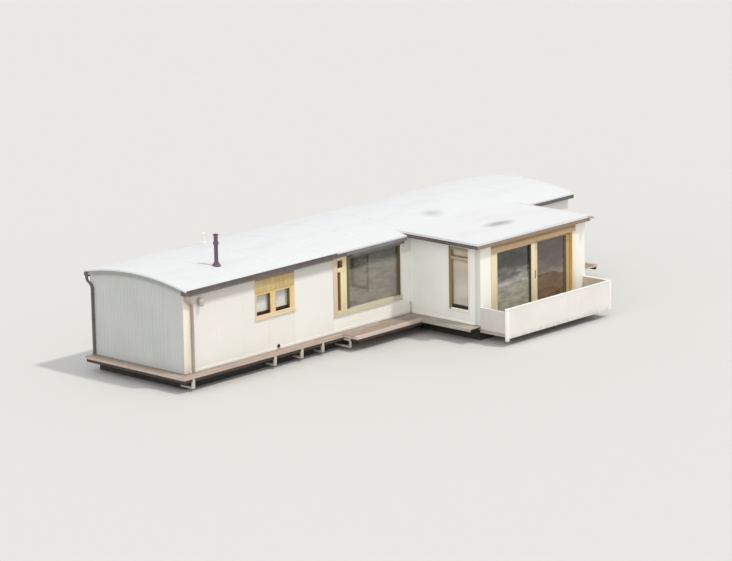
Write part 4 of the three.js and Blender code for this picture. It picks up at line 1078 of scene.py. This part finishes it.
boxed("entrance_kick_plate", [
    ((outer + KICK["from"], low.y + KICK["side"], low.z + KICK["foot"]),
     (outer + KICK["to"], high.y - KICK["side"], low.z + KICK["head"]))],
    pull_metal, 0.0006, body="entrance_door")

# The roofs are ply under a white roofing membrane, welded in wide laps over the cabin's arch and
# turned down over a bead at every edge. The wing's flat sheet laps up onto the arch.
tree, place, given = effect("roof_membrane", {
    "White": (0.9, 0.9, 0.9, 1), "Stain": (0.5, 0.5, 0.5, 1), "Mark": (0, 0, 0), "Mark Size": (1, 1, 1),
    "Mark Strength": 0.5, "Sheen": 0.7})
membrane_effect = tree
apart = computed(tree, "SUBTRACT", place, given["Mark"], "VectorMath")
apart = computed(tree, "DIVIDE", apart, given["Mark Size"], "VectorMath")
reach = put(tree, "ShaderNodeVectorMath", {0: apart}, operation="LENGTH").outputs["Value"]
cloudy = ranged(tree, stretched_noise(tree, place, (1, 1, 1), 3, 5), 0.35, 0.65)
mottled = ranged(tree, stretched_noise(tree, place, (1, 1, 1), 1.7, 3), 0.3, 0.55, 0.5, 1.0)
blotch = computed(tree, "MULTIPLY", ranged(tree, reach, 1.0, 0.2), mottled)
blotch = computed(tree, "MULTIPLY", blotch, given["Mark Strength"])
washed = ranged(tree, stretched_noise(tree, place, (0.5, 1.6, 1), 1.1, 5), 0.5, 0.8, 0, 0.14)
stained = computed(tree, "MAXIMUM", blotch, washed)
gives(tree, blended(tree, stained, given["White"], given["Stain"]),
      computed(tree, "ADD", given["Sheen"], ranged(tree, cloudy, 0, 1, -0.05, 0.08)),
      stretched_noise(tree, place, (1, 1, 1), 2.5, 4))


def membrane(name, white, mark, size, strength):
    """A roof membrane with one dark mark where water stands: its middle, its reach and its strength."""
    return finish_material(name, membrane_effect, {
        "White": rgb(*white), "Stain": rgb(150, 153, 150), "Sheen": 0.72, "Mark": mark, "Mark Size": size,
        "Mark Strength": strength}, bump=0.12, bump_size=0.01)


cabin_membrane = membrane("cabin_roof_membrane", (214, 214, 214), (3.0, 0.27, 4.15), (0.55, 0.42, 1), 0.45)
wing_membrane = membrane("wing_roof_membrane", (216, 216, 215), (3.38, -2.16, 4.0), (0.78, 0.36, 1), 0.9)
dress(wing_membrane, "wing_roof")

wing_roof_low, wing_roof_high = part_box("wing_roof")
cabin_roof = arched_band("cabin_roof", roof_low.x, roof_high.x, roof_low.y, roof_high.y, 0, ROOF_SHEET, 96)
notch = boxes_mesh("notch", [((wing_roof_low.x - 0.0003, roof_low.y - 0.1, eave - 0.1),
                              (wing_roof_high.x + 0.0003, near_face, wing_roof_high.z + 0.1))], 0)
roof_piece = link("cabin_roof", carved(cabin_roof, notch), cabin_membrane)
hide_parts("main_roof_near")
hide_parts("main_roof_far")

LAP = {"width": 0.07, "height": 0.0035, "spacing": 1.95}
EDGE = {"width": 0.04, "height": 0.010}
wide = EDGE["width"]
count = round((roof_high.x - roof_low.x) / LAP["spacing"])
for i in range(count - 1):
    x = roof_low.x + (roof_high.x - roof_low.x) * (i + 1) / count
    over_wing = wing_roof_low.x < x < wing_roof_high.x
    y0 = wing_roof_high.y + 0.01 if over_wing else roof_low.y + wide
    name = f"roof_lap_{i}"
    link(name, arched_band(name, x, x + LAP["width"], y0, roof_high.y - wide, ROOF_SHEET - 0.002,
                           ROOF_SHEET + LAP["height"], 48), cabin_membrane)
EDGES = {
    "left": (roof_low.x, roof_low.x + wide, roof_low.y, roof_high.y, 48),
    "right": (roof_high.x - wide, roof_high.x, roof_low.y, roof_high.y, 48),
    "far": (roof_low.x + wide, roof_high.x - wide, roof_high.y - wide, roof_high.y, 2),
    "near_left": (roof_low.x + wide, wing_roof_low.x - 0.001, roof_low.y, roof_low.y + wide, 2),
    "near_right": (wing_roof_high.x + 0.001, roof_high.x - wide, roof_low.y, roof_low.y + wide, 2),
}
for side, (x0, x1, y0, y1, steps) in EDGES.items():
    name = "roof_bead_" + side
    mesh = arched_band(name, x0, x1, y0, y1, ROOF_SHEET - 0.004, ROOF_SHEET + EDGE["height"], steps)
    rounding = link(name, mesh, cabin_membrane).modifiers.new("rounding", "BEVEL")
    rounding.width = 0.004
    rounding.segments = 2
wing_z = (wing_roof_high.z - 0.004, wing_roof_high.z + EDGE["height"])
wing_side_y = (wing_roof_low.y + wide, near_face + 0.02)
boxed("wing_roof_beads", [
    laid("x", (wing_roof_low.x, wing_roof_high.x), (wing_roof_low.y, wing_roof_low.y + wide), wing_z),
    laid("x", (wing_roof_low.x, wing_roof_low.x + wide), wing_side_y, wing_z),
    laid("x", (wing_roof_high.x - wide, wing_roof_high.x), wing_side_y, wing_z)],
    wing_membrane, 0.004, 2)

# Under the roofs' edges run dark trim boards with a soffit, and arched boards over the two ends.
# They are sheet metal over timber, dulled to grey-brown.
trim = painted("dark_trim_board", (90, 83, 79), (104, 97, 93), (64, 55, 50), 0.5, 0.55)
dress(trim, "near_eave_left", "near_eave_right", "far_eave", "wing_eave")
barge_paint = painted("barge_board_paint", (142, 144, 137), (154, 156, 148), (100, 98, 88), 0.4, 0.55)
dress(barge_paint, "left_barge_board", "right_barge_board")

# A thin fascia of brown stained board is pinned on the wing's front trim, under the roof's edge. A dark
# strip in the trim's finish runs along the near roof's edge up to the living room: painted shade on that
# edge. The near trim has a paler stretch over the living room.
PALE_FROM = -1.950
low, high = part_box("near_eave_left")
boxed("near_edge_shade_strip", [((roof_low.x + 0.045, roof_low.y - 0.0035, eave + 0.001),
                          (living_side, roof_low.y - 0.0005, eave + 0.040))], trim, 0.0008)
pale_trim = painted("pale_trim_board", (134, 134, 128), (122, 122, 116), (92, 88, 82), 0.5, 0.55)
boxed("near_pale_trim", [((PALE_FROM, low.y - 0.0045, low.z + 0.003),
                          (high.x - 0.002, low.y - 0.0005, eave - 0.003))], pale_trim, 0.001)
fascia_stain = facing_finish("wing_fascia_stain", (154, 132, 110), (134, 112, 90), LEVEL)
low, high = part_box("wing_eave")
boxed("wing_front_fascia", [((low.x + 0.002, low.y - 0.006, low.z + 0.002),
                             (high.x - 0.002, low.y - 0.0005, high.z - 0.002))],
      fascia_stain, 0.0015)


# The rain pipes are brown plastic, each with two sockets and with three collars and clips to the
# wall. A short square spout drains the wing's roof at its front right corner.
def swept(name, route, radius, sides=20, bend=0.09, bend_steps=6):
    """A round pipe along a route of points, its corners rounded to a bend radius."""
    points = [Vector(p) for p in route]
    line = [points[0]]
    for before, corner, after in zip(points, points[1:], points[2:]):
        start = corner + (before - corner).normalized() * bend
        end = corner + (after - corner).normalized() * bend
        for i in range(bend_steps + 1):
            t = i / bend_steps
            line.append(start.lerp(corner, t).lerp(corner.lerp(end, t), t))
    line.append(points[-1])
    form = bmesh.new()
    side = (line[1] - line[0]).orthogonal().normalized()
    rings = []
    for i, point in enumerate(line):
        ahead_of = (line[min(i + 1, len(line) - 1)] - line[max(i - 1, 0)]).normalized()
        side = (side - ahead_of * side.dot(ahead_of)).normalized()
        other = ahead_of.cross(side)
        rings.append([form.verts.new(point + radius * (math.cos(a) * side + math.sin(a) * other))
                      for a in (2 * math.pi * k / sides for k in range(sides))])
    return skinned(name, form, rings)


def turned(name, profile, centre, sides=48):
    """A round piece from a profile of radius and height, turned about the upright through centre."""
    form = bmesh.new()
    rings = [[form.verts.new((centre[0] + r * math.cos(a), centre[1] + r * math.sin(a), centre[2] + h))
              for a in (2 * math.pi * k / sides for k in range(sides))] for r, h in profile]
    return skinned(name, form, rings)


def fused(name, meshes):
    """One mesh from several."""
    form = bmesh.new()
    for mesh in meshes:
        form.from_mesh(mesh)
    return mesh_of(name, form, turn_out=False)


PIPE = 0.041
PIPE_IN_BOX = 0.042
COLLAR = {"from": PIPE + 0.0005, "to": PIPE + 0.004, "half": 0.018}
SOCKET = {"from": PIPE - 0.001, "to": 0.046, "height": 0.07, "lip": 0.008}
CLIP = {"half_width": 0.012, "half_height": 0.015, "from": 0.030, "to": -0.0065}
CLIP_HEIGHTS = (1.75, 2.6, 3.25)
SOCKET_RISES = (0.02, 1.0)
OUTLET_DROP = 0.11
NEAR_BEND = 3.42
FAR_BEND = 3.48
tan_pipe = painted("tan_pipe_plastic", (168, 149, 134), (178, 158, 143), (112, 92, 76), 0.4,
                   splash=0.5, splash_z=HIGH_SPLASH)


def rain_pipe(name, node, material, route, wall):
    """A rain pipe on its route, with sockets where its lengths meet and clips round it."""
    foot = route[-1]
    axis, face = wall[:2]
    u, v = foot[:2] if axis == "x" else foot[1::-1]
    collar = [(COLLAR["from"], -COLLAR["half"]), (COLLAR["to"], -COLLAR["half"]),
              (COLLAR["to"], COLLAR["half"]), (COLLAR["from"], COLLAR["half"])]
    socket = [(SOCKET["from"], 0), (SOCKET["to"], 0), (SOCKET["to"], SOCKET["height"]),
              (SOCKET["from"], SOCKET["height"] + SOCKET["lip"])]
    pieces = [swept(name, route, PIPE)]
    pieces += [turned(name, collar, (*foot[:2], z), 24) for z in CLIP_HEIGHTS]
    pieces += [turned(name, socket, (*foot[:2], foot[2] + rise), 24) for rise in SOCKET_RISES]
    pieces.append(boxes_mesh(name, [
        laid(axis, (u - CLIP["half_width"], u + CLIP["half_width"]), (v + CLIP["from"], face + CLIP["to"]),
             (z - CLIP["half_height"], z + CLIP["half_height"])) for z in CLIP_HEIGHTS], 0.002))
    pipe_piece = link(name, fused(name, pieces), material)
    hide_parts(node)


low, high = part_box("near_downpipe")
upper = (low.x + PIPE_IN_BOX, low.y + PIPE_IN_BOX)
lower = (high.x - PIPE_IN_BOX, high.y - PIPE_IN_BOX)
rain_pipe("near_rain_pipe", "near_downpipe", tan_pipe,
          [(*upper, high.z), (*upper, high.z - OUTLET_DROP), (*lower, NEAR_BEND), (*lower, low.z)], NEAR)
low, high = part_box("far_downpipe")
upper = (low.x + PIPE_IN_BOX, high.y - PIPE_IN_BOX)
lower = (low.x + PIPE_IN_BOX, low.y + PIPE_IN_BOX)
rain_pipe("far_rain_pipe", "far_downpipe", trim,
          [(*upper, high.z), (*upper, high.z - OUTLET_DROP), (*lower, FAR_BEND), (*lower, low.z)],
          LEFT_END)
SPOUT = {"half": 0.05, "wall": 0.007, "reach": 0.17, "low": 3.945, "floor": 3.952, "top": 4.0,
         "from_end": 0.10}
spout_x = wing_roof_high.x - SPOUT["from_end"]
spout_out = wing_roof_low.y - SPOUT["reach"]
spout_sides = ((-SPOUT["half"], SPOUT["wall"] - SPOUT["half"]),
               (SPOUT["half"] - SPOUT["wall"], SPOUT["half"]))
boxed("wing_roof_spout", [
    ((spout_x - SPOUT["half"], spout_out, SPOUT["low"]),
     (spout_x + SPOUT["half"], wing_roof_low.y + 0.02, SPOUT["floor"])),
    *(((spout_x + a, spout_out, SPOUT["floor"]), (spout_x + b, wing_roof_low.y - 0.001, SPOUT["top"]))
      for a, b in spout_sides)], off_white, 0.001)


# The stove's flue is enamelled steel, darkened by heat, on a flashing cone, with a collar and a cap.
# The small vent behind it is white plastic.
def stood_on(node, sunk):
    """The foot of a round piece in a node's place, sunk a little into the roof, and how tall it is."""
    low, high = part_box(node)
    return ((low.x + high.x) / 2, (low.y + high.y) / 2, low.z - sunk), high.z - (low.z - sunk)


flue_paint = painted("flue_enamel", (86, 66, 84), (112, 88, 104), (54, 38, 40), 0.7, 0.45)
foot, tall = stood_on("chimney", 0.02)
flue = link("stove_flue", turned("stove_flue", [
    (0.130, 0.0), (0.130, 0.050), (0.122, 0.062), (0.080, 0.125), (0.076, 0.150), (0.060, 0.155),
    (0.060, tall - 0.310), (0.072, tall - 0.308), (0.086, tall - 0.300), (0.086, tall - 0.232),
    (0.072, tall - 0.225), (0.060, tall - 0.222), (0.060, tall - 0.045), (0.078, tall - 0.040),
    (0.082, tall - 0.032), (0.082, tall - 0.004), (0.078, tall), (0.052, tall), (0.050, tall - 0.06),
    (0.0005, tall - 0.06)], foot), flue_paint)
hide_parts("chimney")
foot, tall = stood_on("roof_vent", 0.01)
vent = link("white_vent", turned("white_vent", [
    (0.070, 0.0), (0.070, 0.055), (0.064, 0.064), (0.042, 0.075), (0.042, tall - 0.070),
    (0.058, tall - 0.060), (0.062, tall - 0.050), (0.062, tall - 0.020), (0.050, tall - 0.006),
    (0.020, tall), (0.0005, tall)], foot), white_wall)
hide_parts("roof_vent")

# The wall lamp is a drum of grey metal under a low cone, on an arm from a wall plate. A frosted
# glass drum hangs below it, held by the metal's rim.
LAMP_RADIUS = 0.084
grey_metal = painted("grey_lamp_metal", (184, 172, 160), (192, 182, 170), (120, 108, 96), 0.5)
opal = painted("opal_lamp_glass", (178, 166, 154), (186, 174, 162), (140, 128, 116), 0.3, 0.25, bump=0.1,
               Coat_Weight=0.5)
low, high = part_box("wall_lamp")
lamp_x = (low.x + high.x) / 2
shade_y = low.y + LAMP_RADIUS
lamp_z = high.z - 0.112
drum = turned("drum", [(0.0005, 0.111), (0.016, 0.110), (0.060, 0.092), (0.080, 0.066), (0.0838, 0.058),
                       (0.0838, -0.020), (0.080, -0.024), (0.076, -0.020), (0.076, 0.050), (0.0005, 0.050)],
              (lamp_x, shade_y, lamp_z))
lamp_arm = boxes_mesh("arm", [
    ((lamp_x - 0.015, shade_y + 0.080, lamp_z + 0.022),
     (lamp_x + 0.015, near_face - 0.0172, lamp_z + 0.048)),
    ((lamp_x - 0.068, near_face - 0.0163, lamp_z - 0.088),
     (lamp_x + 0.068, near_face - 0.0063, lamp_z + 0.088))], 0.003, 2)
lamp = link("wall_lamp_drum", fused("wall_lamp_drum", [drum, lamp_arm]), grey_metal)
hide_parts("wall_lamp")
link("wall_lamp_glass", turned("wall_lamp_glass", [
    (0.0005, -0.119), (0.060, -0.117), (0.070, -0.106), (0.0745, -0.060), (0.0745, 0.044), (0.0005, 0.044)],
    (lamp_x, shade_y, lamp_z)), opal)

# The blind over the big living room pane rolls up in a grey cassette with end caps, and its bottom
# bar hangs just below. The cassette is folded metal, screwed to the frame's head.
blind_paint = painted("blind_cassette_paint", (116, 114, 110), (126, 124, 120), (92, 87, 82), 0.3, 0.45)
low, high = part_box("blind_cassette")
blind = boxed("blind_case", [
    (low + Vector((0.012, 0.002, 0.012)), high - Vector((0.012, 0, 0))),
    (low + Vector((0, 0, 0.006)), (low.x + 0.011, high.y, high.z)),
    ((high.x - 0.011, low.y, low.z + 0.006), high),
    ((low.x + 0.02, low.y + 0.03, low.z), (high.x - 0.02, low.y + 0.055, low.z + 0.011))],
    blind_paint, 0.008, 3)
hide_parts("blind_cassette")

# Two outlets in the near wall: a round drain under the bedroom window, dark inside its rim, and a
# short grey standpipe in the corner where the wing meets the cabin.
DRAIN = {"x": -4.775, "z": 1.485, "radius": 0.062}
rim = turned("rim", [(0.040, -0.030), (0.040, 0.006), (DRAIN["radius"], 0.006), (DRAIN["radius"], 0.000),
                     (0.050, -0.002), (0.050, -0.030), (0.040, -0.030)], (0, 0, 0), 32)
bung = turned("bung", [(0.0005, -0.004), (0.039, -0.004), (0.039, 0.0), (0.0005, 0.0)], (0, 0, 0), 32)
to_wall = (Matrix.Translation((DRAIN["x"], near_face - CLADDING - 0.0005, DRAIN["z"]))
           @ Matrix.Rotation(math.radians(90), 4, "X"))
for mesh in (rim, bung):
    mesh.transform(to_wall)
link("wall_drain_rim", rim, dark_seal)
link("wall_drain_bung", bung, tar)
STANDPIPE_X = 1.025
link("corner_standpipe", swept("corner_standpipe", [
    (STANDPIPE_X, near_face - 0.045, 1.392), (STANDPIPE_X, near_face - 0.045, 1.70),
    (STANDPIPE_X, near_face - 0.008, 1.74)], 0.016, 16, 0.02), grey_metal)


# The balcony's parapet is boarded and painted white, darker along its foot, with a rounded cap along
# its front and boards over its corners. Its left side has boards of its own painted greyer, and the
# inner face of its right side is painted greyer too: painted shade on those sides.
def parapet_finish(name, paint, faded, splash_z):
    """The parapet's white paint, darker towards its foot."""
    return painted(name, paint, faded, (160, 150, 136), 0.06, 0.58, 1.0, splash_z, bump=0.2)


parapet_paint = parapet_finish("parapet_paint", (231, 226, 220), (225, 221, 215), (1.12, 1.31))
corner_paint = parapet_finish("parapet_corner_paint", (246, 243, 237), (240, 237, 230), (1.04, 1.20))
return_paint = parapet_finish("parapet_return_paint", (204, 198, 193), (197, 192, 186), (1.12, 1.42))
shaded_paint = parapet_finish("parapet_inner_paint", (206, 197, 184), (196, 186, 172), (1.38, 1.75))
dress(parapet_paint, "balcony_parapet")
cap_low, cap_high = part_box("parapet_cap")
cap = boxed("parapet_capping", [(cap_low, cap_high)], corner_paint, 0.009, 3)
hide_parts("parapet_cap")
low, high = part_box("balcony_parapet")
BOARD = 0.008
CORNER_FOOT = 1.068
corner_z = (CORNER_FOOT, high.z - 0.002)
right_z = (low.z + 0.012, high.z - 0.002)
front_y = (low.y - BOARD, low.y - CLEAR)
side_y = (low.y + 0.0005, low.y + 0.066)
boxed("parapet_corner_boards", [
    laid("x", (low.x - BOARD, low.x + 0.105), front_y, corner_z),
    laid("x", (low.x - BOARD, low.x - CLEAR), side_y, corner_z),
    laid("x", (high.x - 0.075, high.x + BOARD), front_y, right_z),
    laid("x", (high.x + CLEAR, high.x + BOARD), side_y, right_z)], corner_paint, 0.0025, 2)
RETURN = {"foot": 1.3003, "top": 1.975, "boards": 6}
start, stop = low.y + 0.068, high.y - 0.014
pitch = (stop - start) / RETURN["boards"]
boxed("parapet_return_boards", [
    ((low.x - 0.006, start + pitch * i, RETURN["foot"]),
     (low.x - CLEAR, start + pitch * (i + 1) - 0.001, RETURN["top"] - 0.001))
    for i in range(RETURN["boards"])], return_paint, 0.0012)
balcony_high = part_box("balcony_deck")[1]
boxed("parapet_inner_boards", [((balcony_high.x - 0.008, low.y + 0.075, balcony_high.z + 0.004),
                                (balcony_high.x - 0.0006, high.y - 0.014, high.z - 0.006))],
      shaded_paint, 0.0012)
boxed("parapet_right_capping", [((balcony_high.x - 0.010, cap_high.y + 0.001, high.z + 0.0004),
                                 (cap_high.x, high.y - 0.002, cap_high.z))],
      corner_paint, 0.009, 3)

# The mooring plates on the bank side are galvanised steel, bolted through the caisson's wall. Rust
# runs down from their bolts.
galvanised = painted("galvanised_steel", (150, 152, 150), (128, 130, 130), (110, 74, 48), 0.5, 0.45, 0.6,
                     (0.9, 1.2), Metallic=0.6)
dress(galvanised, "mooring_plate_left", "mooring_plate_right")

# Inside, the rooms have pale painted lining and oiled floor boards, seen through the glass. The
# lining is nailed to the walls' frames, and the boards to the floor.
lining = painted("inner_lining_paint", (206, 196, 176), (198, 188, 170), (150, 138, 118), 0.05, 0.7)
dress(lining, "partition_left", "partition_right", "wing_header")
boards = timbered("inner_floor_boards", (172, 140, 100), (130, 98, 64), (0.5, 9, 9), 0.3, 0.5,
                  (160, 134, 104), 0.3, 0.3)
dress(boards, "floor")
